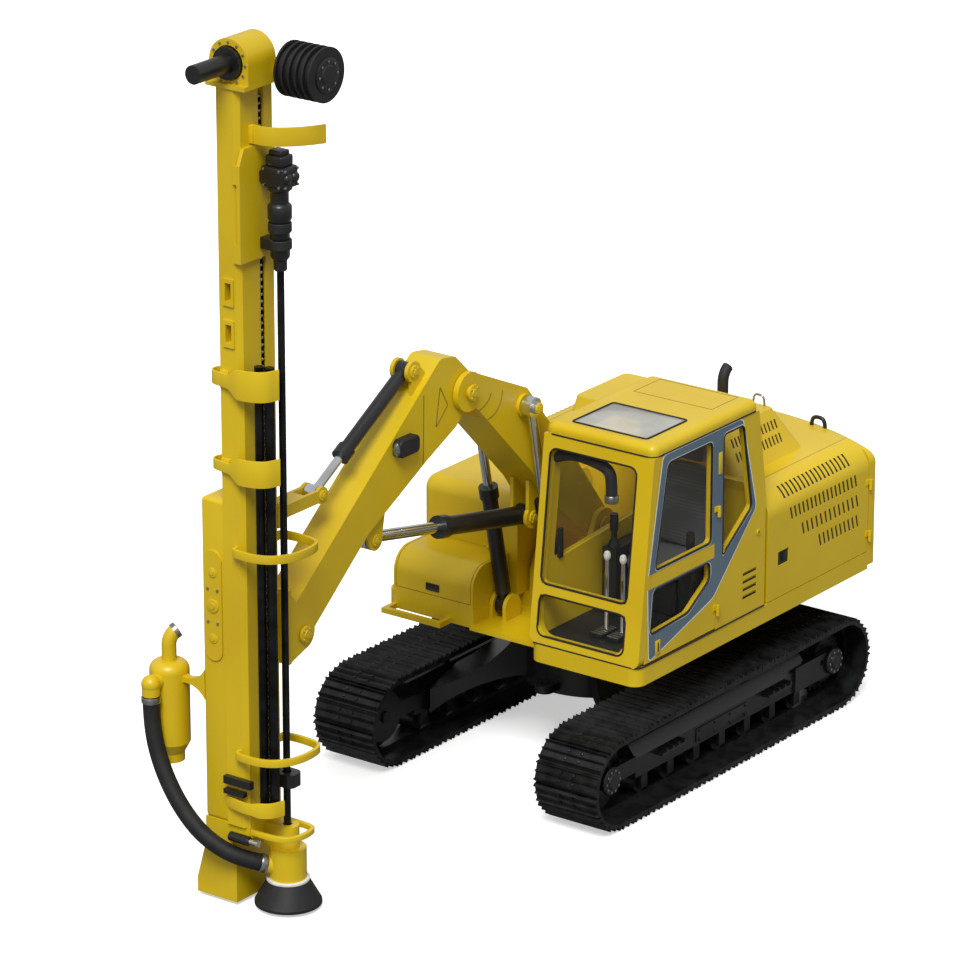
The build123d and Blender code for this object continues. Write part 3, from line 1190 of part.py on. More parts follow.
CYCLONE_RADIUS = 140.0
CYCLONE_LOW = 943.0
CYCLONE_HIGH = 1680.0
OUTLET_RADIUS = 98.0
NECK_RADIUS = 52.0
STAY = (4030.0, 4090.0)
with BuildPart() as cyclone:
    x, y = CYCLONE
    with BuildSketch(Plane.XZ.offset(-y)) as half_section:
        with BuildLine():
            Polyline(
                (x, CYCLONE_HIGH),
                (x, CYCLONE_LOW),
                (x + OUTLET_RADIUS, CYCLONE_LOW),
                (x + OUTLET_RADIUS, CYCLONE_LOW + 60),
                (x + CYCLONE_RADIUS, CYCLONE_LOW + 140),
                (x + CYCLONE_RADIUS, CYCLONE_HIGH - 70),
            )
            RadiusArc((x + CYCLONE_RADIUS, CYCLONE_HIGH - 70), (x + CYCLONE_RADIUS - 70, CYCLONE_HIGH), -70)
            Line((x + CYCLONE_RADIUS - 70, CYCLONE_HIGH), (x, CYCLONE_HIGH))
        make_face()
    revolve(axis=Axis((x, y, 0), (0, 0, 1)))
    with BuildLine() as neck:
        rise = Line((x, y, CYCLONE_HIGH - 5), (x, y, CYCLONE_HIGH + 110))
        TangentArc(rise @ 1, (x - 50, y + 30, CYCLONE_HIGH + 210), tangent=rise % 1)
    with BuildSketch(Plane(origin=(x, y, CYCLONE_HIGH - 5), z_dir=(0, 0, 1))):
        Circle(NECK_RADIUS)
    sweep(path=neck.wires()[0])
    # Stay that flares out where it meets the cradle
    with BuildSketch(Plane.YZ.offset(STAY[0])) as stay:
        with BuildLine():
            Line((y + 110, 1545), (y + 110, 1605))
            ThreePointArc((y + 110, 1605), (y + 270, 1620), (CRADLE_RIGHT, 1690))
            Line((CRADLE_RIGHT, 1690), (CRADLE_RIGHT, 1470))
            ThreePointArc((CRADLE_RIGHT, 1470), (y + 270, 1530), (y + 110, 1545))
        make_face()
    extrude(stay.sketch, amount=STAY[1] - STAY[0])
    # Inlet elbow down to the hose
    fore_aft(y, INLET_Z, SPIGOT_OUTER - 6, (x + 100, HOSE_X))
    with Locations((HOSE_X, y, INLET_Z)):
        Sphere(SPIGOT_OUTER + 4)
    upright(HOSE_X, y, SPIGOT_OUTER, (HOSE_HIGH, INLET_Z))
write(cyclone, "cyclone")


def hose_radii(points, share=0.45):
    """The largest arc that each corner's two runs leave room for."""
    radii = []
    for before, at, after in zip(points, points[1:], points[2:]):
        run_in = Vector(*at) - Vector(*before)
        run_out = Vector(*after) - Vector(*at)
        turn = radians(run_in.get_angle(run_out))
        radii.append(share * min(run_in.length, run_out.length) / (sin(turn / 2) / cos(turn / 2)))
    return radii


with BuildPart() as hose:
    with BuildLine() as route:
        FilletPolyline(*HOSE_ROUTE, radius=hose_radii(HOSE_ROUTE))
    with BuildSketch(Plane(origin=HOSE_ROUTE[0], z_dir=Vector(*HOSE_ROUTE[1]) - Vector(*HOSE_ROUTE[0]))):
        Circle(HOSE_DIAMETER / 2)
    sweep(path=route.wires()[0])
write(hose, "suction_hose")

# Drifter on its sledge, and the rod in its chuck
# Columns: low Z, high Z, half size along X, half size across Y, round
DRIFTER = (
    (5330.0, 5440.0, 62.0, 70.0, False),
    (5180.0, 5330.0, 84.0, 98.0, False),
    (5060.0, 5180.0, 62.0, 62.0, True),
    (4960.0, 5060.0, 82.0, 82.0, True),
    (4690.0, 4960.0, 66.0, 66.0, True),
    (CHUCK_LOW, 4690.0, 46.0, 46.0, True),
)
SHANK = 80.0
SLEDGE = (BEAM_LEFT + PIN_GAP, 28.0)
SLEDGE_Z = (4680.0, 5465.0)
SLEDGE_REAR = BEAM_REAR + 20
SLEDGE_FRONT = BEAM_FRONT + 16
with BuildPart() as sledge:
    side_plate(
        [
            (SLEDGE_REAR, SLEDGE_Z[0]),
            (SLEDGE_FRONT, SLEDGE_Z[0]),
            (SLEDGE_FRONT, SLEDGE_Z[1] - 110),
            (SLEDGE_FRONT - 50, SLEDGE_Z[1]),
            (SLEDGE_REAR, SLEDGE_Z[1]),
        ],
        SLEDGE,
    )
    for z in (SLEDGE_Z[0], SLEDGE_Z[1] - 240):
        block((BEAM_FRONT + PIN_GAP, SLEDGE_FRONT), (-36, SLEDGE[1]), (z, z + 130))
write(sledge, "drifter_sledge")

with BuildPart() as drifter:
    for low, high, half_x, half_y, is_round in DRIFTER:
        if is_round:
            upright(DRILL_X, DRILL_Y, half_x, (low, high))
        else:
            block((DRILL_X - half_x, DRILL_X + half_x), (DRILL_Y - half_y, DRILL_Y + half_y), (low, high))
    for z in (4740, 5200):
        block((DRILL_X - 60, DRILL_X + 60), (SLEDGE[1], DRILL_Y), (z, z + 90))
    upright(DRILL_X, DRILL_Y, ROD_RADIUS + PIN_GAP, (CHUCK_LOW - 1, CHUCK_LOW + SHANK), mode=Mode.SUBTRACT)
write(drifter, "drifter")

with BuildPart() as rod:
    upright(DRILL_X, DRILL_Y, ROD_RADIUS, (130, CHUCK_LOW + SHANK - PIN_GAP))
    upright(DRILL_X, DRILL_Y, 38, (70, 140))
write(rod, "drill_rod")
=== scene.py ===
import bpy
import json
import math
from mathutils import Matrix, Vector


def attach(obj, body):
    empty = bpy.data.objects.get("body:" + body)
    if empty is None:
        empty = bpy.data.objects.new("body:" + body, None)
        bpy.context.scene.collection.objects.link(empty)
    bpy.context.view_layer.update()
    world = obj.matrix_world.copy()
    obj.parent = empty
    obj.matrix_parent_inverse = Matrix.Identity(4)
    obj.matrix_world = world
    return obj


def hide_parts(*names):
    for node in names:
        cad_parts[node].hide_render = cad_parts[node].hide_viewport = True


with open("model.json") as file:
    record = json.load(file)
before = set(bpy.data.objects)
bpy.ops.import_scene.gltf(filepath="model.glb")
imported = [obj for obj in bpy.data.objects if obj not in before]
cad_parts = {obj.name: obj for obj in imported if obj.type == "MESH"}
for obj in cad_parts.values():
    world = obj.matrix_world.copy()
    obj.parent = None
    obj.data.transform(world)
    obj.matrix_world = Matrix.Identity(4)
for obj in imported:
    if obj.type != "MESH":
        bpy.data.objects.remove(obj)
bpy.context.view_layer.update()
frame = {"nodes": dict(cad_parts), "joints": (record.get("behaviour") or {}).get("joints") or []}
NODES = frame["nodes"]
bpy.ops.object.select_all(action="DESELECT")

# The part's own millimetres are measured from the swing axis, the frame's metres from the middle of the box
SWING_X = frame["joints"][0]["pos_m"][0]
MM = 0.001
SIDES = (("left", 1), ("right", -1))
FORWARD = (1, 0, 0)
TO_LEFT = (0, 1, 0)
UP = (0, 0, 1)


def row(x, y, z):
    """A place in the part's millimetres, as metres in the frame."""
    return Vector((x * MM + SWING_X, y * MM, z * MM))


# Materials
def hex_colour(code):
    """An sRGB hex colour as linear red, green, blue and alpha."""
    channels = [int(code[i:i + 2], 16) / 255 for i in (1, 3, 5)]
    linear = [c / 12.92 if c <= 0.04045 else ((c + 0.055) / 1.055) ** 2.4 for c in channels]
    return (*linear, 1.0)


def add_node(material, kind, settings=None, inputs=None):
    """Add one shader node, set its properties, and fill or link its inputs."""
    node = material.node_tree.nodes.new(kind)
    for name, value in (settings or {}).items():
        setattr(node, name, value)
    for name, value in (inputs or {}).items():
        if isinstance(value, bpy.types.NodeSocket):
            material.node_tree.links.new(value, node.inputs[name])
        else:
            node.inputs[name].default_value = value
    return node


def new_material(name):
    """An empty node material with its shader and its Object coordinates."""
    material = bpy.data.materials.new(name)
    material.use_nodes = True
    shader = material.node_tree.nodes["Principled BSDF"]
    place = add_node(material, "ShaderNodeTexCoord").outputs["Object"]
    return material, shader, place


def per_metre(millimetres):
    """A texture's scale for a pattern of that size."""
    return 1000 / millimetres


def noise(material, place, millimetres, detail):
    """Cloudy noise of one size."""
    inputs = {"Vector": place, "Scale": per_metre(millimetres), "Detail": detail}
    return add_node(material, "ShaderNodeTexNoise", None, inputs).outputs["Fac"]


def spread(material, value, low, high):
    """A value from 0 to 1 spread between two limits."""
    inputs = {"Value": value, "To Min": low, "To Max": high}
    return add_node(material, "ShaderNodeMapRange", None, inputs).outputs[0]


def between(material, value, colours, stops):
    """A colour that goes from one shade to another as a value passes two stops."""
    ramp = add_node(material, "ShaderNodeValToRGB", None, {"Fac": value})
    for element, colour, stop in zip(ramp.color_ramp.elements, colours, stops):
        element.position = stop
        element.color = hex_colour(colour)
    return ramp.outputs["Color"]


def bumped(material, height, strength, distance):
    """A normal that follows a height."""
    inputs = {"Height": height, "Strength": strength, "Distance": distance}
    return add_node(material, "ShaderNodeBump", None, inputs).outputs["Normal"]


def worked(material, operation, first, second):
    """The outcome of a sum with two values."""
    inputs = {0: first, 1: second}
    return add_node(material, "ShaderNodeMath", {"operation": operation}, inputs).outputs[0]


SHADE_STOPS = (0.36, 0.62)
GLOSSIER = 0.07
DULLER = 0.09
RELIEF = 0.002
COAT_ROUGHNESS = 0.10
SKIN_IOR = 1.5


def surface(name, colours, roughness, drift_mm, grain_mm, bump, metallic=0.0, coat=0.0, alpha=1.0):
    """A hard finish: its colour drifts between two shades, its grain varies the gloss and the relief."""
    material, shader, place = new_material(name)
    link = material.node_tree.links.new
    grain = noise(material, place, grain_mm, 3.0)
    shades = between(material, noise(material, place, drift_mm, 4.0), colours, SHADE_STOPS)
    link(shades, shader.inputs["Base Color"])
    link(spread(material, grain, roughness - GLOSSIER, roughness + DULLER), shader.inputs["Roughness"])
    link(bumped(material, grain, bump, RELIEF), shader.inputs["Normal"])
    shader.inputs["Metallic"].default_value = metallic
    shader.inputs["Coat Weight"].default_value = coat
    shader.inputs["Coat Roughness"].default_value = COAT_ROUGHNESS
    shader.inputs["Alpha"].default_value = alpha
    if metallic == 0.0:
        shader.inputs["IOR"].default_value = SKIN_IOR
    return material


# Each finish: name, two shades, roughness, size of the drift and of the grain in mm, height of the grain
# Sprayed two-pack enamel on plate: even colour, a soft sheen, and orange peel drawn at 12 mm so that it shows
yellow = surface("machine_yellow_enamel", ("#D2B10A", "#DEBE14"), 0.38, 1400, 12, 0.03, coat=0.12)
# Painted shade along pressed lines and seams: the same yellow, darkened to stand in for the shade in their
# creases
painted_seam_shade = surface("painted_crease_shade", ("#6B5708", "#7D670E"), 0.6, 200, 8, 0.05)
# Chassis enamel on castings: nearly black, with a satin skin
black = surface("black_chassis_enamel", ("#0E0E0F", "#1A1A1B"), 0.38, 500, 14, 0.06, coat=0.15)
# Rolled track shoes: dark scale that the ground has polished in patches
track_steel = surface("rolled_track_steel", ("#0D0D0E", "#242526"), 0.35, 90, 9, 0.10, metallic=0.35)
# Hard chrome on ground rods: a bright mirror with faint grinding marks
chrome = surface("hard_chrome_rod", ("#C9CCCE", "#E2E4E5"), 0.14, 300, 5, 0.01, metallic=1.0)
# Bare machined steel of bolts, rollers and collars
pin_steel = surface("machined_pin_steel", ("#8E8F8C", "#B3B4B0"), 0.30, 60, 4, 0.04, metallic=1.0)
# Carburised drill steel: blue-black from its heat treatment
drill_steel = surface("heat_treated_drill_steel", ("#101113", "#26282B"), 0.36, 160, 7, 0.07, metallic=0.75)
# Moulded rubber: matt, with bloom in pale patches
rubber = surface("moulded_black_rubber", ("#0C0C0C", "#191919"), 0.62, 120, 5, 0.14)
# Injection-moulded ABS with a fine spark grain
plastic = surface("grained_black_abs", ("#121213", "#1D1D1F"), 0.52, 260, 4, 0.10)
# Stove black on the exhaust and the drifter's straps: chalky from heat
stove_black = surface("stove_black_heat_paint", ("#111111", "#1F1E1D"), 0.66, 80, 6, 0.12)
# Cast vinyl film: flat and even
vinyl_blue = surface("blue_grey_vinyl_film", ("#55697A", "#5F7384"), 0.40, 900, 8, 0.01)
vinyl_pale = surface("pale_vinyl_film", ("#D8DEDD", "#E6EAE8"), 0.40, 900, 8, 0.01)
# Turned nylon: creamy white, a little waxy
nylon = surface("turned_white_nylon", ("#D9D8CF", "#E9E8E1"), 0.42, 60, 5, 0.04)
# Red lamp lens of acrylic
red_lens = surface("red_acrylic_lens", ("#7A0C0A", "#961512"), 0.18, 40, 9, 0.08, coat=0.4)
# Fluted lamp glass, grey while the lamp is off
lamp_glass = surface("fluted_lamp_glass", ("#4C5150", "#6E7472"), 0.16, 14, 8, 0.18, coat=0.5)
# Frosted acrylic of the roof hatch, paler than the glass
hatch_acrylic = surface(
    "frosted_hatch_acrylic", ("#CFD1CC", "#DEE0DB"), 0.22, 260, 9, 0.02, coat=0.3, alpha=0.5
)


def tinted_glass():
    """Toughened grey-tinted glass: see-through, with a film of dust that dulls its gloss in places."""
    material, shader, place = new_material("tinted_safety_glass")
    dust = noise(material, place, 350, 3.0)
    material.node_tree.links.new(spread(material, dust, 0.03, 0.12), shader.inputs["Roughness"])
    shader.inputs["Base Color"].default_value = hex_colour("#4A504E")
    shader.inputs["Alpha"].default_value = 0.06
    shader.inputs["IOR"].default_value = 1.52
    return material


def woven_cloth():
    """Seat cloth: a plain weave of grey yarn. The yarn is 1 mm; drawn at 4 mm so that it shows."""
    material, shader, place = new_material("woven_seat_cloth")
    link = material.node_tree.links.new
    # A wave texture draws 20 bands to the unit of scale
    inputs = {"Vector": place, "Scale": per_metre(4) / 20, "Distortion": 0.6}
    yarns = []
    for direction in ("X", "Z"):
        wave = add_node(material, "ShaderNodeTexWave", {"bands_direction": direction}, inputs)
        yarns.append(wave.outputs["Fac"])
    weave = worked(material, "MULTIPLY", *yarns)
    link(between(material, weave, ("#5E6267", "#6C7075"), (0.0, 1.0)), shader.inputs["Base Color"])
    link(bumped(material, weave, 0.08, 0.001), shader.inputs["Normal"])
    shader.inputs["Roughness"].default_value = 0.85
    shader.inputs["Sheen Weight"].default_value = 0.25
    return material


glass = tinted_glass()
seat_cloth = woven_cloth()

# Each node's finish; what isn't listed is yellow enamel
FINISHES = (
    (black, "carbody carbody_legs slewing_ring track_frame_left track_frame_right engine_block feed_motor"),
    (black, "boom_barrels arm_barrel tilt_barrel drifter rod_guides"),
    (track_steel, "track_left track_right sprockets idlers track_rollers"),
    (chrome, "boom_rods arm_rod tilt_rod"),
    (drill_steel, "drill_rod spare_rods feed_chain"),
    (rubber, "hood_skirt hose_drum suction_hose cab_floor"),
    (plastic, "controls work_lamp seat"),
    (stove_black, "exhaust"),
    (glass, "cab_glass door_glass"),
)
for node in NODES.values():
    node.data.materials.clear()
    node.data.materials.append(yellow)
for finish, names in FINISHES:
    for name in names.split():
        NODES[name].data.materials[0] = finish

# Modelling steps
WELD = 0.00002
# A face looks along an axis when its normal has at least this much of it
FACING = 0.9


def only(piece):
    """Select one object and make it active."""
    bpy.ops.object.select_all(action="DESELECT")
    piece.select_set(True)
    bpy.context.view_layer.objects.active = piece


def fixed(piece):
    """Put an object's place, turn and scale in its mesh."""
    only(piece)
    bpy.ops.object.transform_apply(location=True, rotation=True, scale=True)


def to_objects():
    """Go back to object mode."""
    bpy.ops.object.mode_set(mode="OBJECT")


def edit_all(piece):
    """Go into edit mode with all of one object selected."""
    only(piece)
    bpy.ops.object.mode_set(mode="EDIT")
    bpy.ops.mesh.select_all(action="SELECT")


def welded(piece):
    """Weld double points and turn all faces outwards."""
    edit_all(piece)
    bpy.ops.mesh.remove_doubles(threshold=WELD)
    bpy.ops.mesh.normals_make_consistent(inside=False)
    to_objects()


def settle(piece, name, body, material, smooth=35):
    """Put a finished piece's place in its mesh, name and dress it, and let it ride on its body."""
    fixed(piece)
    welded(piece)
    bpy.ops.object.shade_smooth_by_angle(angle=math.radians(smooth))
    piece.name = name
    piece.data.materials.clear()
    piece.data.materials.append(material)
    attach(piece, body)
    return piece


def apply_modifier(piece, kind, **settings):
    """Add a modifier, set it and apply it."""
    only(piece)
    modifier = piece.modifiers.new(kind.lower(), kind)
    for name, value in settings.items():
        setattr(modifier, name, value)
    bpy.ops.object.modifier_apply(modifier=modifier.name)


def dished(piece, test, border, depth):
    """Raise the faces whose normal passes a test by a depth, or sink them, inside a border."""
    only(piece)
    bpy.ops.object.mode_set(mode="EDIT")
    bpy.ops.mesh.select_mode(type="FACE")
    bpy.ops.mesh.select_all(action="DESELECT")
    to_objects()
    for face in piece.data.polygons:
        face.select = bool(test(face.normal))
    bpy.ops.object.mode_set(mode="EDIT")
    bpy.ops.mesh.inset(thickness=border * MM, depth=depth * MM)
    to_objects()
    return piece


def box(size, rounding=0.0, segments=2):
    """A box about the origin, its edges bevelled."""
    bpy.ops.mesh.primitive_cube_add(size=1)
    piece = bpy.context.object
    piece.scale = Vector(size) * MM
    fixed(piece)
    if rounding:
        apply_modifier(piece, "BEVEL", width=rounding * MM, segments=segments, limit_method="NONE")
    return piece


def cube(corner, opposite, rounding=0.0, segments=2):
    """A bevelled box between two corners in the part's millimetres."""
    corner = Vector(corner)
    opposite = Vector(opposite)
    piece = box([abs(length) for length in opposite - corner], rounding, segments)
    piece.location = row(*((corner + opposite) / 2))
    return piece


def joined(pieces):
    """Join several objects into the first."""
    bpy.ops.object.select_all(action="DESELECT")
    for piece in pieces:
        piece.select_set(True)
    bpy.context.view_layer.objects.active = pieces[0]
    if len(pieces) > 1:
        bpy.ops.object.join()
    return bpy.context.object


def copies(model, matrices):
    """Copies of one model, each with its own mesh, joined into one object. The model itself goes."""
    placed = []
    for matrix in matrices:
        copy = model.copy()
        copy.data = model.data.copy()
        bpy.context.collection.objects.link(copy)
        copy.matrix_world = matrix
        fixed(copy)
        placed.append(copy)
    bpy.data.objects.remove(model)
    return joined(placed)


def turned_to(at, normal):
    """A matrix that stands a model, made along +Z, at a place with its top along a normal."""
    return Matrix.Translation(row(*at)) @ Vector(normal).to_track_quat("Z", "Y").to_matrix().to_4x4()


def circle(count, radius, first=0.0):
    """Offsets of points evenly round a circle; the first is a share of a step from zero."""
    angles = [2 * math.pi * (number + first) / count for number in range(count)]
    return [(radius * math.cos(angle), radius * math.sin(angle)) for angle in angles]


def hex_bolt(across, height):
    """A hexagon head with a chamfered top, made along +Z from the origin."""
    bpy.ops.mesh.primitive_cylinder_add(vertices=6, radius=across * MM / 2, depth=height * MM)
    bolt = bpy.context.object
    bolt.location.z = height * MM / 2
    fixed(bolt)
    return dished(bolt, lambda normal: normal.z > FACING, across * 0.10, across * 0.07)


def turned(profile, segments=40):
    """A turned piece along +Z from (radius, height) points: closed in itself, or from axis to axis."""
    bpy.ops.mesh.primitive_circle_add(vertices=3, radius=0.01, fill_type="NOTHING")
    piece = bpy.context.object
    piece.data.clear_geometry()
    points = [(radius * MM, 0, height * MM) for radius, height in profile]
    piece.data.from_pydata(points, [(i, i + 1) for i in range(len(points) - 1)], [])
    edit_all(piece)
    bpy.ops.mesh.spin(steps=segments, angle=2 * math.pi, center=(0, 0, 0), axis=UP)
    to_objects()
    welded(piece)
    return piece


def bolt_set(name, size, spots, body, material):
    """Hexagon heads at several spots as one piece. Size: across flats, height."""
    return settle(copies(hex_bolt(*size), spots), name, body, material)


def turned_set(name, profile, spots, body, material, segments=40):
    """Turned pieces at several spots as one piece."""
    return settle(copies(turned(profile, segments), spots), name, body, material)


def outline_face(points, rounding=0.0, steps=5):
    """One flat face with the given corners (frame metres), its corners rounded."""
    bpy.ops.mesh.primitive_circle_add(vertices=len(points), radius=1, fill_type="NGON")
    piece = bpy.context.object
    for vertex, point in zip(piece.data.vertices, points):
        vertex.co = point
    if rounding:
        edit_all(piece)
        bpy.ops.mesh.bevel(offset=rounding * MM, segments=steps, affect="VERTICES", clamp_overlap=True)
        to_objects()
    return piece


def thickened(face, axis, thickness):
    """A plate that stands on a face along one axis."""
    apply_modifier(face, "SOLIDIFY", thickness=thickness * MM, offset=0)
    face.location[axis] = thickness / 2 * MM
    fixed(face)
    welded(face)
    return face


def edge_tube(piece, thickness):
    """Turn a face's edge into a round tube that follows it."""
    edit_all(piece)
    bpy.ops.mesh.delete(type="ONLY_FACE")
    to_objects()
    bpy.ops.object.convert(target="CURVE")
    tube = bpy.context.object
    tube.data.bevel_depth = thickness * MM / 2
    tube.data.bevel_resolution = 2
    bpy.ops.object.convert(target="MESH")
    return bpy.context.object


def tube_curve(points, radius, resolution, roundness):
    """A thick curve led by points in the part's millimetres."""
    bpy.ops.curve.primitive_nurbs_path_add()
    path = bpy.context.object
    path.data.splines.clear()
    spline = path.data.splines.new("NURBS")
    spline.points.add(len(points) - 1)
    for control, point in zip(spline.points, points):
        control.co = (*row(*point), 1.0)
    spline.order_u = 3
    spline.use_endpoint_u = True
    spline.resolution_u = resolution
    path.data.bevel_depth = radius * MM
    path.data.bevel_resolution = roundness
    path.data.use_fill_caps = True
    return path


def bent_tube(points, radius):
    """A tube along a smooth curve, as a mesh."""
    only(tube_curve(points, radius, 10, 5))
    bpy.ops.object.convert(target="MESH")
    return bpy.context.object


# Suction hose from the cyclone to the dust hood, on the part's own route
HOSE_ROUTE = (
    (4262, -720, 1480),
    (4262, -720, 1330),
    (4272, -680, 1120),
    (4278, -590, 910),
    (4272, -460, 710),
    (4245, -310, 545),
    (4180, -150, 430),
    (4075, -20, 360),
    (3985, 52, 325),
)
HOSE_DIAMETER = 0.120
hose = tube_curve(HOSE_ROUTE, HOSE_DIAMETER / 2 / MM, 16, 6)
hose.name = "suction_hose_tube"
hose.data.materials.append(rubber)
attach(hose, "mast")
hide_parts("suction_hose")

# Track bolts: two pairs on each shoe, between its grousers
GAUGE = 1990.0
WHEEL_X = 1445.0
WHEEL_Z = 355.0
SHOE_BASE = 308.0
SHOE_PLATE = 25.0
RUN_SHOES = 18
END_SHOES = 6
SHOE_BOLT = (26.0, 9)
BOLT_ROWS = (-58.0, 58.0)
# Each pair's place along the shoe, as a share of its half length
BOLT_SHARES = (-0.40, 0.40)


def shoe_places():
    """Each shoe's middle on its base line, its outward direction and its half length."""
    pitch = 2 * WHEEL_X / RUN_SHOES
    turn = math.pi / END_SHOES
    end_middle = SHOE_BASE * math.cos(turn / 2)
    end_half = SHOE_BASE * math.sin(turn / 2)
    places = []
    for way in (1, -1):
        for shoe in range(RUN_SHOES):
            x = way * (-WHEEL_X + (shoe + 0.5) * pitch)
            places.append((x, WHEEL_Z + way * SHOE_BASE, 0, way, pitch / 2))
        for shoe in range(END_SHOES):
            angle = (shoe + 0.5) * turn
            out_x = way * math.sin(angle)
            out_z = way * math.cos(angle)
            middle = (way * WHEEL_X + end_middle * out_x, WHEEL_Z + end_middle * out_z)
            places.append((*middle, out_x, out_z, end_half))
    return places


for side_name, side in SIDES:
    spots = []
    for x, z, out_x, out_z, half in shoe_places():
        for share in BOLT_SHARES:
            along = share * half
            bolt_x = x + out_z * along + out_x * SHOE_PLATE
            bolt_z = z - out_x * along + out_z * SHOE_PLATE
            for across in BOLT_ROWS:
                spots.append(turned_to((bolt_x, side * GAUGE / 2 + across, bolt_z), (out_x, 0, out_z)))
    bolt_set(f"shoe_bolts_{side_name}", SHOE_BOLT, spots, "undercarriage", track_steel)

# Hub covers on the idlers and the final drives, with a ring of bolts
HUB_PROFILE = ((0, 0), (100, 0), (104, 6), (104, 22), (96, 32), (60, 36), (52, 46), (20, 50), (0, 50))
HUB_FACE = GAUGE / 2 + 150
HUB_BOLT = (20, 8)
HUB_BOLT_OUT = 33
for side_name, side in SIDES:
    covers = []
    bolts = []
    for hub_x in (WHEEL_X, -WHEEL_X):
        covers.append(turned_to((hub_x, side * HUB_FACE, WHEEL_Z), (0, side, 0)))
        for over, up in circle(10, 80):
            at = (hub_x + over, side * (HUB_FACE + HUB_BOLT_OUT), WHEEL_Z + up)
            bolts.append(turned_to(at, (0, side, 0)))
    turned_set(f"hub_covers_{side_name}", HUB_PROFILE, covers, "undercarriage", black)
    bolt_set(f"hub_bolts_{side_name}", HUB_BOLT, bolts, "undercarriage", pin_steel)

# Cab: window seals, the side band of vinyl, and what is on the door
HALF_WIDTH = 1220.0
CAB_RIGHT = 263.0
CAB_MID = (CAB_RIGHT + HALF_WIDTH) / 2
DECK_HIGH = 1140.0
CAB_HIGH = 2770.0
CAB_FRONT = 1210.0
LEAN = 190.0 / (CAB_HIGH - DECK_HIGH)


def front_x(z):
    """X of the cab's leaning front face at a height."""
    return CAB_FRONT - LEAN * (z - DECK_HIGH)


def leaning(z, back):
    """An (X, Z) place that far behind the leaning front face."""
    return (front_x(z) - back, z)


def side_points(outline, y):
    """An (X, Z) outline in the plane at Y."""
    return [row(x, y, z) for x, z in outline]


def rectangle(first, second):
    """Corners of a rectangle from its two ranges."""
    return [(first[0], second[0]), (first[1], second[0]), (first[1], second[1]), (first[0], second[1])]


PANE_BACK = 120.0
UPPER_PANE = [(305, 1836), leaning(1836, PANE_BACK), leaning(2605, PANE_BACK + 60), (305, 2605)]
LOWER_PANE = [(320, 1695), (315, 1560), (590, 1385), leaning(1362, PANE_BACK), leaning(1695, PANE_BACK)]
QUARTER = [(160, 1690), (160, 2620), (-95, 2620), (-215, 1960)]
FRONT_ACROSS = (CAB_RIGHT + 62, HALF_WIDTH - 140)
FRONT_LEVELS = ((1205.0, 1510.0), (1590.0, 2585.0))
DOOR_ROUND = 40
QUARTER_ROUND = 35
FRONT_ROUND = 60.0
SEAL = 18.0
SEAL_SUNK = 4


def side_seal(pane, rounding):
    """A rubber seal round a pane of the cab's left side."""
    return edge_tube(outline_face(side_points(pane, HALF_WIDTH - SEAL_SUNK), rounding), SEAL)


door_seals = [side_seal(pane, DOOR_ROUND) for pane in (UPPER_PANE, LOWER_PANE)]
settle(joined(door_seals), "door_window_seals", "cab_door", rubber)
cab_seals = [side_seal(QUARTER, QUARTER_ROUND)]
for levels in FRONT_LEVELS:
    points = [row(front_x(z) - SEAL_SUNK, y, z) for y, z in rectangle(FRONT_ACROSS, levels)]
    cab_seals.append(edge_tube(outline_face(points, FRONT_ROUND), SEAL))
settle(joined(cab_seals), "cab_window_seals", "upper", rubber)

# Roof hatch, its plate a little smaller than the opening
HATCH_X = (420.0, 930.0)
HATCH_Y = (CAB_RIGHT + 170, HALF_WIDTH - 140)
HATCH_ROUND = 25
HATCH_PLAY = 6
hatch_edge = outline_face([row(x, y, CAB_HIGH + 1) for x, y in rectangle(HATCH_X, HATCH_Y)], HATCH_ROUND)
settle(edge_tube(hatch_edge, SEAL), "roof_hatch_seal", "upper", rubber)
hatch_plate = cube(
    (HATCH_X[0] + HATCH_PLAY, HATCH_Y[0] + HATCH_PLAY, CAB_HIGH - 4),
    (HATCH_X[1] - HATCH_PLAY, HATCH_Y[1] - HATCH_PLAY, CAB_HIGH + 2),
    2,
)
settle(hatch_plate, "roof_hatch_plate", "upper", hatch_acrylic)

# Vinyl band round the side windows, with a pale edge, cut in two at the door's seam
BAND = [(920, 2672), (-75, 2672), (-266, 1948), (277, 1409), (1075, 1168), (1095, 1765)]
DOOR_SEAM_X = 238.0
FILM_LIFT = 0.2
CUTTER_REACH = 20


def prism(outline, y, rounding):
    """A closed block with a side outline between two Y positions."""
    return thickened(outline_face(side_points(outline, y[0]), rounding), 1, y[1] - y[0])


def grown(outline, amount):
    """An outline moved outwards by about an amount from its middle."""
    middle = sum((Vector(point) for point in outline), Vector((0, 0))) / len(outline)
    return [tuple(Vector(point) + (Vector(point) - middle).normalized() * amount) for point in outline]


def film(name, outline, rounding, thickness, holes, material):
    """A thin film on the cab's left side with window holes, one piece on the door and one on the cab."""
    sheet = prism(outline, (HALF_WIDTH + FILM_LIFT, HALF_WIDTH + thickness), rounding)
    for hole, hole_rounding in holes:
        cutter = prism(hole, (HALF_WIDTH - CUTTER_REACH, HALF_WIDTH + CUTTER_REACH), hole_rounding)
        apply_modifier(sheet, "BOOLEAN", operation="DIFFERENCE", object=cutter, solver="EXACT")
        bpy.data.objects.remove(cutter)
    rear = sheet.copy()
    rear.data = sheet.data.copy()
    bpy.context.collection.objects.link(rear)
    for piece, keep_front in ((sheet, True), (rear, False)):
        edit_all(piece)
        bpy.ops.mesh.bisect(
            plane_co=row(DOOR_SEAM_X, 0, 0),
            plane_no=FORWARD,
            use_fill=True,
            clear_inner=keep_front,
            clear_outer=not keep_front,
        )
        to_objects()
    settle(sheet, f"{name}_door", "cab_door", material, smooth=20)
    settle(rear, f"{name}_cab", "upper", material, smooth=20)


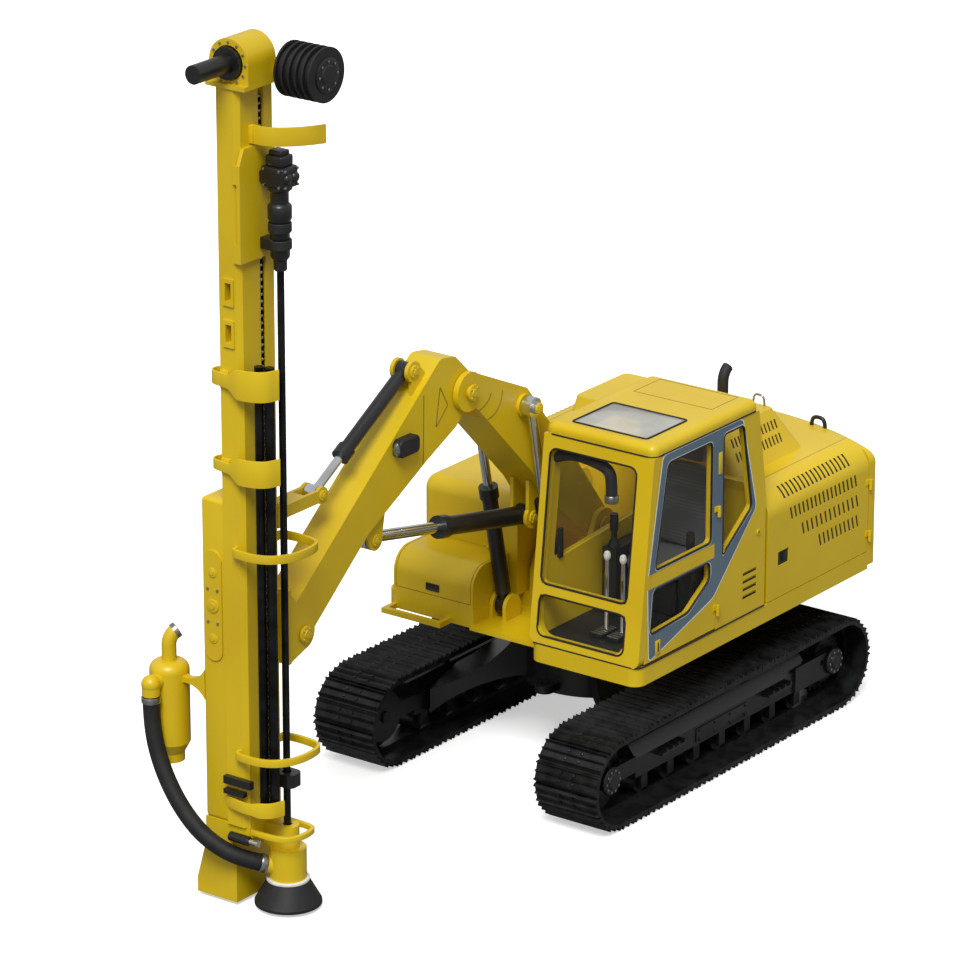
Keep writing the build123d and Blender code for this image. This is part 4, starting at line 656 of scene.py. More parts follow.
RAIL = [(262, 1712), (262, 1822), (1120, 1822), (1120, 1712)]
PANES = ((grown(UPPER_PANE, 16), 46), (grown(LOWER_PANE, 16), 46), (grown(QUARTER, 16), 40), (RAIL, 8))
PALE_PANES = ((grown(UPPER_PANE, 9), 42), (grown(LOWER_PANE, 9), 42), (grown(QUARTER, 9), 38), (RAIL, 8))
film("band_edge", grown(BAND, 12), 40, 0.9, PALE_PANES, vinyl_pale)
film("band", BAND, 36, 1.5, PANES, vinyl_blue)

# Yellow catch plates on the band, one with a key slot
# Columns: name, two corners, rounding, body, slot, finish
CATCHES = (
    ("pillar_plate", (186, 1221.6, 2335), (231, 1229, 2500), 6, "upper", "yellow_paint", yellow),
    ("door_latch_plate", (944, 1221.6, 1196), (1004, 1230, 1300), 6, "cab_door", "yellow_paint", yellow),
    ("door_latch_slot", (968, 1229, 1214), (980, 1232, 1282), 1, "cab_door", "plastic", plastic),
)
for name, corner, opposite, rounding, body, slot, finish in CATCHES:
    settle(cube(corner, opposite, rounding), name, body, finish)

# Rubber strips along the cab's joints. Columns: name, Z, plan
BASE_STRIP = ((1208, 300), (1208, 1060), (1206, 1216), (1060, 1221), (420, 1221), (-392, 1221))
DRIP_RAIL = ((-240, 1220), (300, 1220), (880, 1220), (1030, 1216), (1031, 1060), (1031, 330))
STRIPS = (("cab_base_strip", 1143, BASE_STRIP), ("cab_drip_rail", 2685, DRIP_RAIL))
STRIP_RADIUS = 6
for name, z, plan in STRIPS:
    settle(bent_tube([(x, y, z) for x, y in plan], STRIP_RADIUS), name, "upper", rubber)

# Dark strips on the seams of the roof's rear panel, painted shade at its raised edges. Columns: X range, Y
# range
ROOF_SEAMS = (
    ((-215, -210), (400, 1085)),
    ((120, 125), (400, 1085)),
    ((-215, 120), (400, 404)),
    ((-215, 120), (1081, 1085)),
)
seams = [cube((x[0], y[0], CAB_HIGH - 1), (x[1], y[1], CAB_HIGH + 1), 0.8, 1) for x, y in ROOF_SEAMS]
settle(joined(seams), "roof_seam_shade_strips", "upper", rubber)

# Dark bars of painted shade in the gaps of the cab's four louvres, and its lock
LOUVRE_X = (-289.0, -111.0)
LOUVRE_Z = (1270.0, 1330.0, 1390.0, 1450.0)
LOUVRE_Y = (1203, 1217)
shadows = []
for z in LOUVRE_Z:
    shadows.append(cube((LOUVRE_X[0], LOUVRE_Y[0], z + 0.4), (LOUVRE_X[1], LOUVRE_Y[1], z + 8), 1, 1))
settle(joined(shadows), "cab_louvre_painted_shade", "upper", plastic)
KEYHOLE_PROFILE = ((0, -1), (8, -1), (8, 1.5), (3, 2), (0, 1))
LOCK_AT = (-300, 1228, 1740)
turned_set("cab_lock", KEYHOLE_PROFILE, [turned_to(LOCK_AT, TO_LEFT)], "upper", black, 20)

# Cab inside: seat on its pedestal, levers, pedals and the roof air duct
FLOOR = DECK_HIGH + 40
PAD_CUTS = 9
PAD_PULL = 0.10
PAD_CROWN = 0.012
WELT_HIGH = 0.010
WELT_AT = 0.55
WELT_WIDTH = 0.05
PAD_FACE = 0.98


def pad(name, low, high, crown, lean=0.0):
    """A foam pad under sewn cloth: pulled-in corners, two faces crowned along one axis, and sewn welts."""
    piece = cube(low, high)
    size = (Vector(high) - Vector(low)) * MM
    edit_all(piece)
    bpy.ops.mesh.subdivide(number_cuts=PAD_CUTS)
    to_objects()
    across, along = [axis for axis in range(3) if axis != crown]
    for vertex in piece.data.vertices:
        share = [2 * vertex.co[axis] / size[axis] for axis in range(3)]
        pull = 1 - PAD_PULL * (share[0] ** 2 + share[1] ** 2 + share[2] ** 2 - 1) / 2
        vertex.co = vertex.co * min(pull, 1.0)
        dome = max(0.0, 1 - share[across] ** 2) * max(0.0, 1 - share[along] ** 2)
        welt = WELT_HIGH * math.exp(-((abs(share[along]) - WELT_AT) / WELT_WIDTH) ** 2)
        rise = PAD_CROWN * dome - welt * (abs(share[crown]) > PAD_FACE)
        vertex.co[crown] += math.copysign(rise, share[crown])
    apply_modifier(piece, "SUBSURF", levels=1, render_levels=1)
    piece.rotation_euler = (0, math.radians(lean), 0)
    settle(piece, name, "upper", seat_cloth, smooth=60)


pad("seat_cushion", (-125, CAB_MID - 240, 1492), (372, CAB_MID + 240, 1610), 2)
pad("seat_back", (-128, CAB_MID - 230, 1612), (-20, CAB_MID + 230, 2236), 0, lean=-7.5)
pad("seat_headrest", (-172, CAB_MID - 125, 2246), (-104, CAB_MID + 125, 2424), 0, lean=-4)
pedestal = cube((-115, CAB_MID - 165, FLOOR), (295, CAB_MID + 165, 1488), 18, 3)
dished(pedestal, lambda normal: abs(normal.y) > FACING, 30, -12)
settle(pedestal, "seat_pedestal", "upper", plastic)
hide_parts("seat")

LEVER_PROFILE = ((0, 0), (26, 0), (26, 14), (17, 30), (17, 470), (15, 480), (15, 560), (0, 560))
KNOB_PROFILE = ((0, 0), (12, 0), (25, 22), (27, 44), (20, 66), (8, 74), (0, 75))
GRIP_PROFILE = ((0, 0), (46, 0), (40, 30), (24, 60), (22, 100), (31, 130), (33, 200), (26, 240), (0, 250))
LEVER_X = 820
LEVER_OFFSETS = (-70, 70)
KNOB_Z = 1735
GRIP_AT = (360, 1650)
GRIP_OFFSETS = (-335, 335)
lever_spots = [turned_to((LEVER_X, CAB_MID + across, FLOOR), UP) for across in LEVER_OFFSETS]
turned_set("travel_levers", LEVER_PROFILE, lever_spots, "upper", chrome, 24)
knob_spots = [turned_to((LEVER_X, CAB_MID + across, KNOB_Z), UP) for across in LEVER_OFFSETS]
turned_set("travel_lever_knobs", KNOB_PROFILE, knob_spots, "upper", nylon, 24)
TREAD_X = range(768, 966, 33)
TREAD_LONG = 14
TREAD_HALF = 50
TREAD_Z = (FLOOR + 28, FLOOR + 38)
treads = []
for across in LEVER_OFFSETS:
    middle = CAB_MID + across
    for x in TREAD_X:
        corner = (x, middle - TREAD_HALF, TREAD_Z[0])
        treads.append(cube(corner, (x + TREAD_LONG, middle + TREAD_HALF, TREAD_Z[1]), 3))
settle(joined(treads), "pedal_treads", "upper", pin_steel)
grip_spots = [turned_to((GRIP_AT[0], CAB_MID + across, GRIP_AT[1]), UP) for across in GRIP_OFFSETS]
turned_set("joystick_grips", GRIP_PROFILE, grip_spots, "upper", plastic, 24)
DUCT_ROUTE = (
    (960, 320, 2490),
    (960, 430, 2540),
    (960, 620, 2530),
    (960, 790, 2490),
    (962, 805, 2370),
    (962, 805, 2300),
)
DUCT_RADIUS = 42
settle(bent_tube(DUCT_ROUTE, DUCT_RADIUS), "roof_air_duct", "upper", rubber)
COLLAR_PROFILE = ((38, 0), (48, 0), (50, 6), (50, 50), (46, 56), (38, 56), (38, 0))
turned_set("air_duct_collar", COLLAR_PROFILE, [turned_to((962, 805, 2248), UP)], "upper", pin_steel)
settle(cube((875, 300, 1700), (925, 330, 1930), 10), "side_console", "upper", plastic)

# Service doors and engine hood: dark plates of painted shade in the louvre slots, handles, lifting eye
BAY_ROUND = 210.0
BAY_HIGH = 2000.0
# Columns: first X, last X, mid Z, slots, roll onto the rounded shoulder
SLOT_ROWS = (
    (-680.0, -1540.0, 0.0, 17, 42.0),
    (-740.0, -1600.0, 1755.0, 17, 0.0),
    (-900.0, -1625.0, 1590.0, 13, 0.0),
    (-1130.0, -1630.0, 1430.0, 10, 0.0),
)
SLOT_SLANT = 16.0
SLOT_PLATE = (21.6, 10, 104)
SLOT_SUNK = 9


def slot_shade_plate(size):
    """A thin dished plate of painted shade that closes one slot, made about the origin."""
    return dished(box(size), lambda normal: abs(normal.y) > FACING, 3, -1)


for side_name, side in SIDES:
    door = f"service_door_{side_name}"
    inwards = Matrix.Translation((0, -side * SLOT_SUNK * MM, 0))
    spots = []
    for first_x, last_x, z, count, roll in SLOT_ROWS:
        y = HALF_WIDTH
        turn = Matrix.Rotation(math.radians(SLOT_SLANT), 4, "Y")
        if roll:
            y = HALF_WIDTH - BAY_ROUND + BAY_ROUND * math.cos(math.radians(roll))
            z = BAY_HIGH - BAY_ROUND + BAY_ROUND * math.sin(math.radians(roll))
            turn = Matrix.Rotation(math.radians(side * roll), 4, "X")
        for number in range(count):
            x = first_x + (last_x - first_x) * number / (count - 1)
            spots.append(Matrix.Translation(row(x, side * y, z)) @ turn @ inwards)
    settle(copies(slot_shade_plate(SLOT_PLATE), spots), f"louvre_slot_shade_{side_name}", door, plastic)
    tray = cube((-708, side * 1199, 1392), (-572, side * 1214, 1498), 4)
    dished(tray, lambda normal: normal.y * side > FACING, 16, -6)
    paddle = cube((-690, side * 1206, 1412), (-640, side * 1217, 1478), 4)
    settle(joined([tray, paddle]), f"door_handle_{side_name}", door, plastic)

# The hood's sloping side rises inwards; its two slot rows lie at shares of that rise
HOOD_SLOPE = 24.444
HOOD_EDGE = 860.0
HOOD_INWARDS = 150.0
HOOD_RISE = 330.0
HOOD_ROWS = (0.38, 0.68)
HOOD_STARTS = (-640.0, -980.0)
HOOD_SLOTS = 6
HOOD_PITCH = 45.0
HOOD_PLATE = (21.6, 5, 69)
HOOD_SUNK = 7
on_slope = Matrix.Rotation(math.radians(HOOD_SLOPE), 4, "X") @ Matrix.Translation((0, -HOOD_SUNK * MM, 0))
hood_spots = []
for first_x in HOOD_STARTS:
    for share in HOOD_ROWS:
        for number in range(HOOD_SLOTS):
            x = first_x - number * HOOD_PITCH
            at = row(x, HOOD_EDGE - HOOD_INWARDS * share, BAY_HIGH + HOOD_RISE * share)
            hood_spots.append(Matrix.Translation(at) @ on_slope)
settle(copies(slot_shade_plate(HOOD_PLATE), hood_spots), "hood_slot_painted_shade", "engine_hood", plastic)
EYE_X = -1230
EYE_ARCH = ((540, 2322), (540, 2400), (590, 2412), (640, 2400), (640, 2322))
eye = bent_tube([(EYE_X, y, z) for y, z in EYE_ARCH], 9)
settle(eye, "hood_lifting_eye", "engine_hood", pin_steel)

# Pins: a cap with its bolts on each end. Columns: X, Z, right face Y, left face Y, radius, body
PINS = (
    (1680, 3130, -295, 115, 62, "boom"),
    (100, 1680, -326, 146, 66, "upper"),
    (3570, 1900, -271, 91, 62, "mast"),
    (1050, 2860, -410, 230, 42, "boom_rods"),
    (680, 1125, -415, 235, 54, "upper"),
    (790, 1910, -175, -5, 52, "boom"),
    (2660, 2290, -180, 0, 46, "arm"),
    (2200, 3400, -170, -10, 48, "arm"),
    (3240, 2790, -170, -10, 40, "mast"),
)
PIN_BOLTS = 4
PIN_BOLT_OUT = 11
PIN_BOLT_HIGH = 7
for number, (x, z, right, left, radius, body) in enumerate(PINS):
    boss = radius * 0.5
    boss_top = radius * 0.44
    profile = ((0, -1), (radius, -1), (radius, 8), (radius - 5, 12), (boss, 12), (boss_top, 20), (0, 20))
    ends = []
    heads = []
    for y, way in ((right, -1), (left, 1)):
        ends.append(turned_to((x, y, z), (0, way, 0)))
        for over, up in circle(PIN_BOLTS, radius * 0.72, first=0.5):
            heads.append(turned_to((x + over, y + way * PIN_BOLT_OUT, z + up), (0, way, 0)))
    turned_set(f"pin_caps_{number}", profile, ends, body, yellow)
    bolt_set(f"pin_bolts_{number}", (radius * 0.26, PIN_BOLT_HIGH), heads, body, yellow)

# Arm and boom: dark lines of painted shade along the pressed three-cornered panels, seams and arcs, and the
# lamp's lens
SEAM_WIDTH = 7.0
ARM_FACES = (40, -220)
ARM_PANEL = [(1968, 3235), (1880, 3080), (2018, 2950)]
ARM_SEAM = ((2156, 3225), (2160, 2970), (2168, 2720))
BOOM_LEFT = 90
BOOM_ARCS = (((1434, 3057), (1489, 2996), (1578, 2962)), ((1298, 3037), (1353, 2918), (1476, 2868)))


def bowed(first, middle, last, y, steps=8):
    """Points of an even curve through three (X, Z) places, in the plane at Y."""
    points = []
    for number in range(steps + 1):
        t = number / steps
        shares = ((2 * t - 1) * (t - 1), 4 * t * (1 - t), t * (2 * t - 1))
        places = list(zip(shares, (first, middle, last)))
        points.append((sum(w * p[0] for w, p in places), y, sum(w * p[1] for w, p in places)))
    return points


# Thin tubes of painted shade along the pressed panel's edge and the seam on both faces of the arm, then along
# the boom's arcs
lines = [edge_tube(outline_face(side_points(ARM_PANEL, y), 12), SEAM_WIDTH) for y in ARM_FACES]
lines += [bent_tube([(x, y, z) for x, z in ARM_SEAM], SEAM_WIDTH / 2) for y in ARM_FACES]
settle(joined(lines), "arm_pressed_line_shade", "arm", painted_seam_shade)
arcs = [bent_tube(bowed(*places, BOOM_LEFT), SEAM_WIDTH / 2) for places in BOOM_ARCS]
settle(joined(arcs), "boom_pressed_line_shade", "boom", painted_seam_shade)
LENS_PROFILE = ((0, -4), (50, -4), (50, 6), (44, 12), (20, 17), (0, 18))
LENS_SHAPE = Matrix.Diagonal((0.55, 1, 1, 1))
lens_spot = turned_to((2512, 75, 2930), FORWARD) @ LENS_SHAPE
turned_set("work_lamp_lens", LENS_PROFILE, [lens_spot], "arm", lamp_glass)

# Mast: rings, collars and bolts
DRILL = (3870, 150)
BAND_PROFILE = ((128, 0), (147, 0), (151, 5), (151, 17), (147, 22), (128, 22), (128, 0))
turned_set("hood_clamp_ring", BAND_PROFILE, [turned_to((*DRILL, 194), UP)], "mast", nylon, 56)
HOSE_COLLAR = ((58, 0), (66, 0), (68, 4), (68, 40), (66, 44), (58, 44), (58, 0))
COLLAR_BACK = 50
COLLAR_BELOW = 52
last_run = Vector(HOSE_ROUTE[-1]) - Vector(HOSE_ROUTE[-2])
lower_collar = Vector(HOSE_ROUTE[-1]) - last_run.normalized() * COLLAR_BACK
upper_collar = Vector(HOSE_ROUTE[0]) - Vector(UP) * COLLAR_BELOW
hose_collars = [turned_to(lower_collar, last_run), turned_to(upper_collar, UP)]
turned_set("hose_collars", HOSE_COLLAR, hose_collars, "mast", pin_steel)
OUTLET_AT = Vector((4010, -690, 1890))
OUTLET_WAY = Vector((-0.745, 0.447, 0.494))
OUTLET_PROFILE = ((0, 2), (40, 2), (40, 8), (54, 8), (57, 4), (57, -26), (53, -26), (53, 0), (0, 0))
DISC_PROFILE = ((0, 0), (39, 0), (39, 3), (0, 6))
DISC_OUT = 2.5
outlet_spots = [turned_to(OUTLET_AT, OUTLET_WAY)]
turned_set("cyclone_outlet_rim", OUTLET_PROFILE, outlet_spots, "mast", pin_steel)
disc_spots = [turned_to(OUTLET_AT + OUTLET_WAY * DISC_OUT, OUTLET_WAY)]
turned_set("cyclone_outlet_mesh", DISC_PROFILE, disc_spots, "mast", plastic)
HEAD_FACE = 4089
HEAD_MIDDLE = (-87.5, 6035)
head_bolts = []
for over, up in circle(12, 142):
    head_bolts.append(turned_to((HEAD_FACE, HEAD_MIDDLE[0] + over, HEAD_MIDDLE[1] + up), FORWARD))
bolt_set("mast_head_bolts", (20, 9), head_bolts, "mast", pin_steel)

# Cradle with its long round-ended plate, the plate's caps, and bolts
PLATE_X = (4098, 4112)
PLATE_CORNERS = rectangle((-355, -205), (1790, 2590))
PLATE_ROUND = 74
PLATE_MID_Y = -280
plate_face = outline_face([row(PLATE_X[0], y, z) for y, z in PLATE_CORNERS], PLATE_ROUND, steps=10)
cradle_body = cube((3740, -385, 614), (4100, -174.5, 2957), 26, 4)
cradle = joined([cradle_body, thickened(plate_face, 0, PLATE_X[1] - PLATE_X[0])])
settle(cradle, "cradle_shell", "mast", yellow)
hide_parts("mast_cradle")
cradle_bolts = []
for z in range(700, 2900, 270):
    for x in (3800, 4040):
        cradle_bolts.append(turned_to((x, -384.5, z), (0, -1, 0)))
bolt_set("cradle_side_bolts", (26, 12), cradle_bolts, "mast", yellow)
# Shares of the cap's radius
PLATE_CAP = ((0, 0), (1, 0), (1, 0.16), (0.88, 0.22), (0.5, 0.22), (0.46, 0.34), (0, 0.34))
caps = []
for z, radius in ((1950, 34), (2190, 49), (2430, 34)):
    profile = [(r * radius, h * radius) for r, h in PLATE_CAP]
    caps.append(copies(turned(profile), [turned_to((4111.5, PLATE_MID_Y, z), FORWARD)]))
settle(joined(caps), "cradle_plate_caps", "mast", yellow)
plate_bolts = [turned_to((4111, PLATE_MID_Y + y, z), FORWARD) for z in (2070, 2310) for y in (-42, 42)]
bolt_set("cradle_plate_bolts", (22, 10), plate_bolts, "mast", pin_steel)
RAM_SLEEVE = ((0, 0), (17, 0), (17, 70), (24, 72), (24, 88), (17, 90), (0, 90))
turned_set("clamp_ram_rod", RAM_SLEEVE, [turned_to((4134, 20, 535), TO_LEFT)], "mast", chrome, 28)

# Hose drum: end cap with its bolts
DRUM_CAP = ((0, -2), (120, -2), (120, 8), (112, 12), (70, 12), (62, 20), (0, 22))
DRUM_X = 3760
DRUM_Z = 5970
drum_end = [turned_to((DRUM_X, 470, DRUM_Z), TO_LEFT)]
turned_set("drum_end_cap", DRUM_CAP, drum_end, "hose_drum", black)
drum_bolts = [turned_to((DRUM_X + over, 481, DRUM_Z + up), TO_LEFT) for over, up in circle(8, 95)]
bolt_set("drum_bolts", (18, 8), drum_bolts, "hose_drum", pin_steel)

# Drifter: rounded castings on a turned body, with the bore that the rod turns in
ROD_BORE = 25.3
BODY_PROFILE = (
    (0, 4680), (ROD_BORE, 4680), (ROD_BORE, 4600), (38, 4600), (46, 4610), (46, 4672), (56, 4684), (66, 4700),
    (66, 4935), (72, 4946), (82, 4966), (82, 5048), (76, 5058), (62, 5070), (62, 5140), (70, 5156),
    (86, 5166), (86, 5190), (0, 5190),
)
body_spots = [Matrix.Translation(row(*DRILL, 0))]
turned_set("drifter_body", BODY_PROFILE, body_spots, "drifter", black, 48)
# Columns: two corners, rounding, segments
CASTINGS = (
    ((3786, 52, 5182), (3954, 248, 5330), 20, 4),
    ((3806, 78, 5326), (3934, 222, 5404), 14, 3),
    ((3822, 96, 5400), (3918, 204, 5436), 10, 3),
    ((3804, 28.5, 4744), (3936, 150, 4826), 8, 3),
    ((3804, 28.5, 5206), (3936, 150, 5286), 8, 3),
)
castings = joined([cube(*casting) for casting in CASTINGS])
settle(castings, "drifter_castings", "drifter", black)
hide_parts("drifter")
STRAP_PROFILE = ((64, 0), (76, 0), (80, 5), (80, 61), (76, 66), (64, 66), (64, 0))
straps = [turned_to((*DRILL, z), UP) for z in (4752, 4870)]
turned_set("drifter_straps", STRAP_PROFILE, straps, "drifter", stove_black)
ACCUMULATOR = ((0, -4), (36, -4), (36, 8), (32, 18), (20, 26), (8, 28), (0, 28))
domes = [turned_to((DRILL[0] + x, 248, 5256), TO_LEFT) for x in (-38, 38)]
turned_set("drifter_accumulators", ACCUMULATOR, domes, "drifter", black, 32)
drifter_bolts = []
for z in (5200, 5312):
    for offset in (-66, 66):
        drifter_bolts.append(turned_to((DRILL[0] + offset, 247, z), TO_LEFT))
        drifter_bolts.append(turned_to((3953, DRILL[1] + offset, z), FORWARD))
bolt_set("drifter_bolts", (22, 10), drifter_bolts, "drifter", pin_steel)


# Bars round the rods and hoses
def softened(points, rounds=3):
    """A path whose corners are cut until it is a curve; its ends stay."""
    points = [Vector(point) for point in points]
    for _ in range(rounds):
        cut = [points[0]]
        for before, after in zip(points, points[1:]):
            cut += [before.lerp(after, 0.25), before.lerp(after, 0.75)]
        points = [*cut, points[-1]]
    return points


def flat_bar(path, levels, thickness, rounding):
    """A bar on edge along a plan path, between a low and a high level at each of its points."""
    bpy.ops.mesh.primitive_grid_add(x_subdivisions=len(path) - 1, y_subdivisions=1, size=1)
    piece = bpy.context.object
    for number, vertex in enumerate(piece.data.vertices):
        x, y = path[number % len(path)]
        vertex.co = row(x, y, levels[number % len(path)][number // len(path)])
    apply_modifier(piece, "SOLIDIFY", thickness=thickness * MM, offset=0, use_even_offset=True)
    bend = math.radians(50)
    apply_modifier(piece, "BEVEL", width=rounding * MM, segments=3, limit_method="ANGLE", angle_limit=bend)
    return piece


LONG_HOOK = ((3990, -172), (4030, -262), (4125, -262), (4146, -120), (4172, 40), (4120, 190), (4000, 228))
SHORT_HOOK = ((4122, -172), (4146, -120), (4172, 40), (4120, 190), (4000, 228))
# Columns: path, bottom Z, height at the rods, share of the height that the thin end has
HOOKS = ((LONG_HOOK, 3740, 215, 0.45), (LONG_HOOK, 3135, 190, 0.38), (SHORT_HOOK, 735, 110, 0.75))
# Shares of the path where a hook starts to widen, and over which it widens
WIDENS_AT = 0.52
WIDENS_OVER = 0.10
bars = []
for plan, bottom, height, thin in HOOKS:
    path = softened(plan)
    levels = []
    for number in range(len(path)):
        share = min(max((number / (len(path) - 1) - WIDENS_AT) / WIDENS_OVER, 0.0), 1.0)
        share = share * share * (3 - 2 * share)
        inset = height * (1 - thin) / 2 * (1 - share)
        levels.append((bottom + inset, bottom + height - inset))
    bars.append(flat_bar(path, levels, 12, 3))
    bars.append(cube((4119, -170, bottom + height * 0.2), (4134, -100, bottom + height * 0.8), 3))
LEAD_PLAN = ((3982, 8), (3985, 140), (3900, 262), (3790, 350), (3690, 402))
LEAD_LEVELS = (5480, 5610)
lead = softened(LEAD_PLAN)
bars.append(flat_bar(lead, [LEAD_LEVELS] * len(lead), 16, 5))
bars.append(cube((3958, -2, 5482), (4002, 34, 5608), 5))
bars.append(cube((3960, 0, 724), (4096, 190, 741), 4))
bars = joined(bars)
settle(bars, "rod_hook_bars", "mast", yellow)
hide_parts("rod_hooks")
HOOP_PLAN = (
    (4112, -60), (4172, -60), (4172, 200), (4010, 340), (3740, 340), (3668, 250), (3668, -20), (3745, -20),
)
RING_PLAN = ((4070, -5), (4072, 230), (3990, 324), (3800, 324), (3753, 260), (3755, -5))
# Columns: plan, mid Z, half height, thickness
HOOPS = ((HOOP_PLAN, 2640, 29, 24), (HOOP_PLAN, 1160, 26, 24), (RING_PLAN, 575, 20, 28))
HOOP_ROUND = 9
hoops = []
for plan, z, half, thickness in HOOPS:
    path = softened(plan)
    hoops.append(flat_bar(path, [(z - half, z + half)] * len(path), thickness, HOOP_ROUND))
hoops = joined(hoops)
settle(hoops, "hose_hoop_bars", "mast", yellow)
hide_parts("hose_hoops")

# Feed chain in the beam's groove: rollers on pins between side plates
CHAIN_PITCH = 50.8
CHAIN_LOW = 640.0
CHAIN_LINKS = 102
CHAIN_Y = -27
ROLLER_PROFILE = ((0, -21), (9, -21), (9, -12), (15, -12), (15, 12), (9, 12), (9, 21), (0, 21))
LINK_PLATE = (5, 30, CHAIN_PITCH + 28)
LINK_ROUND = 12
INNER_LINK = 13
OUTER_LINK = 18
roller_spots = []
for link in range(CHAIN_LINKS):
    roller_spots.append(turned_to((DRILL[0], CHAIN_Y, CHAIN_LOW + CHAIN_PITCH * link), FORWARD))
rollers = turned_set("chain_rollers", ROLLER_PROFILE, roller_spots, "mast", pin_steel, 12)
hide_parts("feed_chain")
side_plates = []
for link in range(CHAIN_LINKS - 1):
    outwards = OUTER_LINK if link % 2 else INNER_LINK
    z = CHAIN_LOW + CHAIN_PITCH * (link + 0.5)
    for way in (-1, 1):
        side_plates.append(Matrix.Translation(row(DRILL[0] + way * outwards, CHAIN_Y, z)))
settle(copies(box(LINK_PLATE, LINK_ROUND), side_plates), "chain_side_plates", "mast", drill_steel)

# Toolbox handle, tank cap, tail lamps and lifting lugs
handle = cube((957, -850, 1212), (970, -730, 1268), 4)
dished(handle, lambda normal: normal.x > FACING, 10, -6)
settle(handle, "toolbox_handle", "toolbox_lid", plastic)
CAP_PROFILE = ((0, 0), (74, 0), (78, 8), (66, 14), (66, 42), (58, 50), (20, 52), (0, 52))
turned_set("tank_filler_cap", CAP_PROFILE, [turned_to((60, -640, 1899), UP)], "upper", plastic)
# Columns: name, size, rounding, height of its middle over the face, finish
LAMP_PIECES = (
    ("tail_lamp", (190, 90, 20), 6, 4, plastic),
    ("tail_lens", (164, 66, 12), 5, 16, red_lens),
)
LUG_X = -2000
LUG_ARCH = ((560, 1940), (560, 2010), (620, 2025), (680, 2010), (680, 1940))
LUG_RADIUS = 16
for side_name, side in SIDES:
    lamp_spot = turned_to((-2026, side * 900, 1520), (-0.928, side * 0.372, 0))
    for name, size, rounding, over, finish in LAMP_PIECES:
        spot = lamp_spot @ Matrix.Translation((0, 0, over * MM))
        settle(copies(box(size, rounding), [spot]), f"{name}_{side_name}", "upper", finish)
    lug = bent_tube([(LUG_X, side * y, z) for y, z in LUG_ARCH], LUG_RADIUS)
    settle(lug, f"weight_lifting_lug_{side_name}", "upper", black)

# Counterweight: bolt caps and lower rub strips. Its back is an arc
BACK_RADIUS = 2420.0
BACK_MIDDLE = 220.0
RUB_STRIP_Y = (300, 500, 700, 900, 1080)
RUB_STRIP_Z = 1130
RUB_STRIP_SUNK = 4


def on_back(y, z, outwards=0.0):
    """A place on the counterweight's back, and the way it faces."""
    x = BACK_MIDDLE - math.sqrt(BACK_RADIUS ** 2 - y ** 2)
    normal = Vector((x - BACK_MIDDLE, y, 0)).normalized()
    return Vector((x, y, z)) + normal * outwards, normal


rub_strips = []
for side in (-1, 1):
    route = [on_back(side * y, RUB_STRIP_Z, -RUB_STRIP_SUNK)[0] for y in RUB_STRIP_Y]
    rub_strips.append(bent_tube(route, 9))
settle(joined(rub_strips), "weight_rub_strips", "upper", rubber)
WEIGHT_CAP = ((0, -6), (58, -6), (58, 6), (52, 11), (24, 11), (20, 16), (0, 16))
weight_caps = [turned_to(*on_back(y, 1500)) for y in (-330, 330)]
turned_set("weight_bolt_caps", WEIGHT_CAP, weight_caps, "upper", yellow)

# Track frames: bolted cover plates between the rollers
COVER_FACE = GAUGE / 2 + 130
COVER_THICK = 9
COVER_BOLT = (20, 8)
COVER_BOLT_X = (-300, -100, 100, 300)
COVER_BOLT_Z = (290, 360)
for side_name, side in SIDES:
    face = side * COVER_FACE
    cover = cube((-330, face, 272), (330, face + side * COVER_THICK, 378), 4)
    settle(cover, f"frame_cover_{side_name}", "undercarriage", black)
    bolt_y = face + side * (COVER_THICK - 1)
    spots = [turned_to((x, bolt_y, z), (0, side, 0)) for x in COVER_BOLT_X for z in COVER_BOLT_Z]
    bolt_set(f"frame_cover_bolts_{side_name}", COVER_BOLT, spots, "undercarriage", track_steel)

# Floor: the camera sees it pale and nearly without shadow; the part gets only a little light back from it
FLOOR_SIZE = 160
FLOOR_Z = -0.002
FLOOR_SEEN = 0.92
FLOOR_BOUNCE = 0.20
FLOOR_LIFT = 0.50
WHITE = (1, 1, 1, 1)
bpy.ops.object.select_all(action="DESELECT")
bpy.ops.mesh.primitive_plane_add(size=FLOOR_SIZE, location=(SWING_X, 0, FLOOR_Z))
floor = bpy.context.object
floor.name = "studio_floor"
floor_paint, floor_shader, _ = new_material("pale_studio_floor")
floor_shader.inputs["Roughness"].default_value = 0.85
floor_shader.inputs["Emission Color"].default_value = WHITE
floor_rays = add_node(floor_paint, "ShaderNodeLightPath").outputs["Is Camera Ray"]
tone = spread(floor_paint, floor_rays, FLOOR_BOUNCE, FLOOR_SEEN)
floor_paint.node_tree.links.new(tone, floor_shader.inputs["Base Color"])
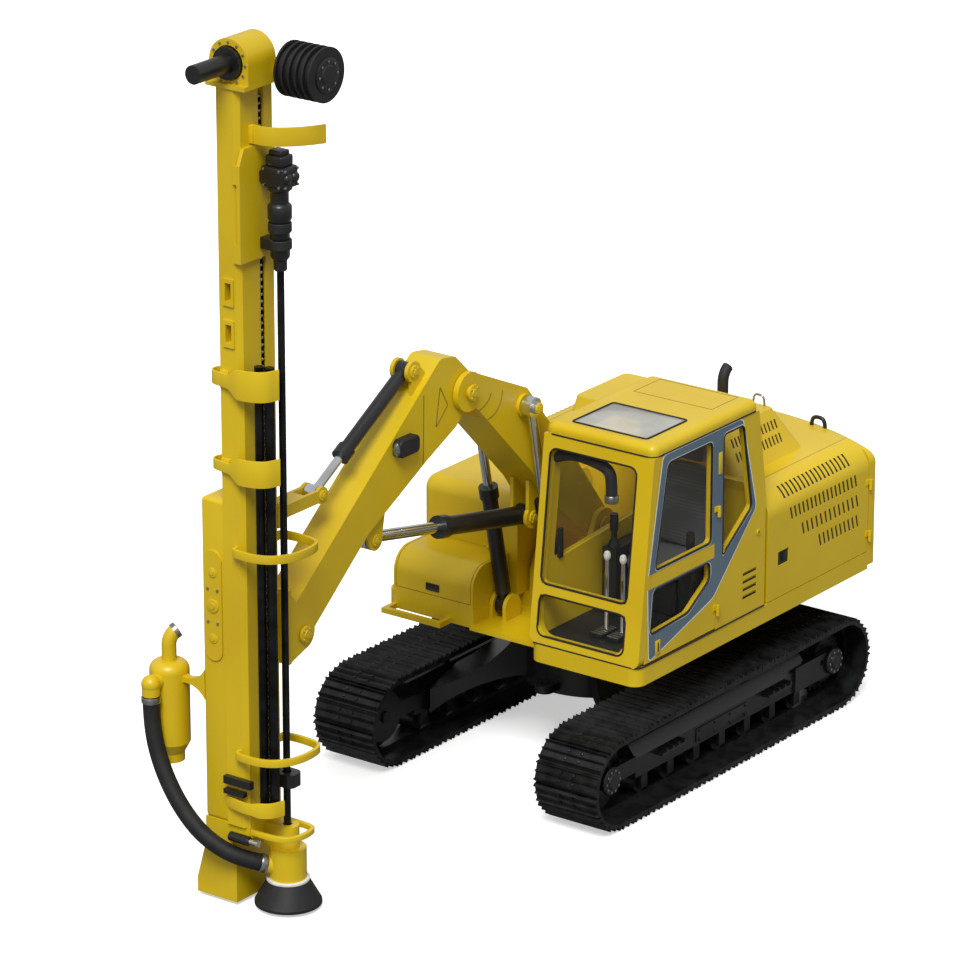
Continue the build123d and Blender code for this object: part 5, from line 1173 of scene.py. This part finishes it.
lift = worked(floor_paint, "MULTIPLY", floor_rays, FLOOR_LIFT)
floor_paint.node_tree.links.new(lift, floor_shader.inputs["Emission Strength"])
floor.data.materials.append(floor_paint)

# World: white to the camera, softer in reflections and as light
SKY_LEVEL = 0.46
SKY_MIRRORED = 0.60
bpy.context.scene.view_settings.view_transform = "Standard"
world = bpy.data.worlds.new("studio")
world.use_nodes = True
bpy.context.scene.world = world
sky = world.node_tree.nodes["Background"]
sky.inputs["Color"].default_value = WHITE
rays = add_node(world, "ShaderNodeLightPath").outputs
mirrored = worked(world, "MULTIPLY", rays["Is Glossy Ray"], SKY_MIRRORED)
seen = worked(world, "MAXIMUM", rays["Is Camera Ray"], mirrored)
level = worked(world, "MAXIMUM", seen, SKY_LEVEL)
world.node_tree.links.new(level, sky.inputs["Strength"])

# Key light: a broad sun, so that its shadows are soft
TO_SUN = Vector((0.54, 0.27, 0.80))
SUN_STRENGTH = 2.7
SUN_BREADTH = 25
bpy.ops.object.light_add(type="SUN", rotation=TO_SUN.to_track_quat("Z", "Y").to_euler())
key = bpy.context.object
key.name = "key_sun"
key.data.energy = SUN_STRENGTH
key.data.angle = math.radians(SUN_BREADTH)

# Camera at the photo's angle
CAMERA_AZIMUTH = math.radians(36.55)
CAMERA_ELEVATION = math.radians(19.85)
CAMERA_DISTANCE = 40.0
CAMERA_TARGET = Vector((0.315, 0, 2.385))
CAMERA_LENS = 211.0
SENSOR_WIDTH = 36
CAMERA_REACH = 200
level_reach = math.cos(CAMERA_ELEVATION)
toward = Vector((
    level_reach * math.cos(CAMERA_AZIMUTH),
    level_reach * math.sin(CAMERA_AZIMUTH),
    math.sin(CAMERA_ELEVATION),
))
bpy.ops.object.camera_add(location=CAMERA_TARGET + toward * CAMERA_DISTANCE)
camera = bpy.context.object
camera.rotation_euler = (-toward).to_track_quat("-Z", "Y").to_euler()
camera.data.lens = CAMERA_LENS
camera.data.sensor_width = SENSOR_WIDTH
camera.data.clip_end = CAMERA_REACH
bpy.context.scene.camera = camera
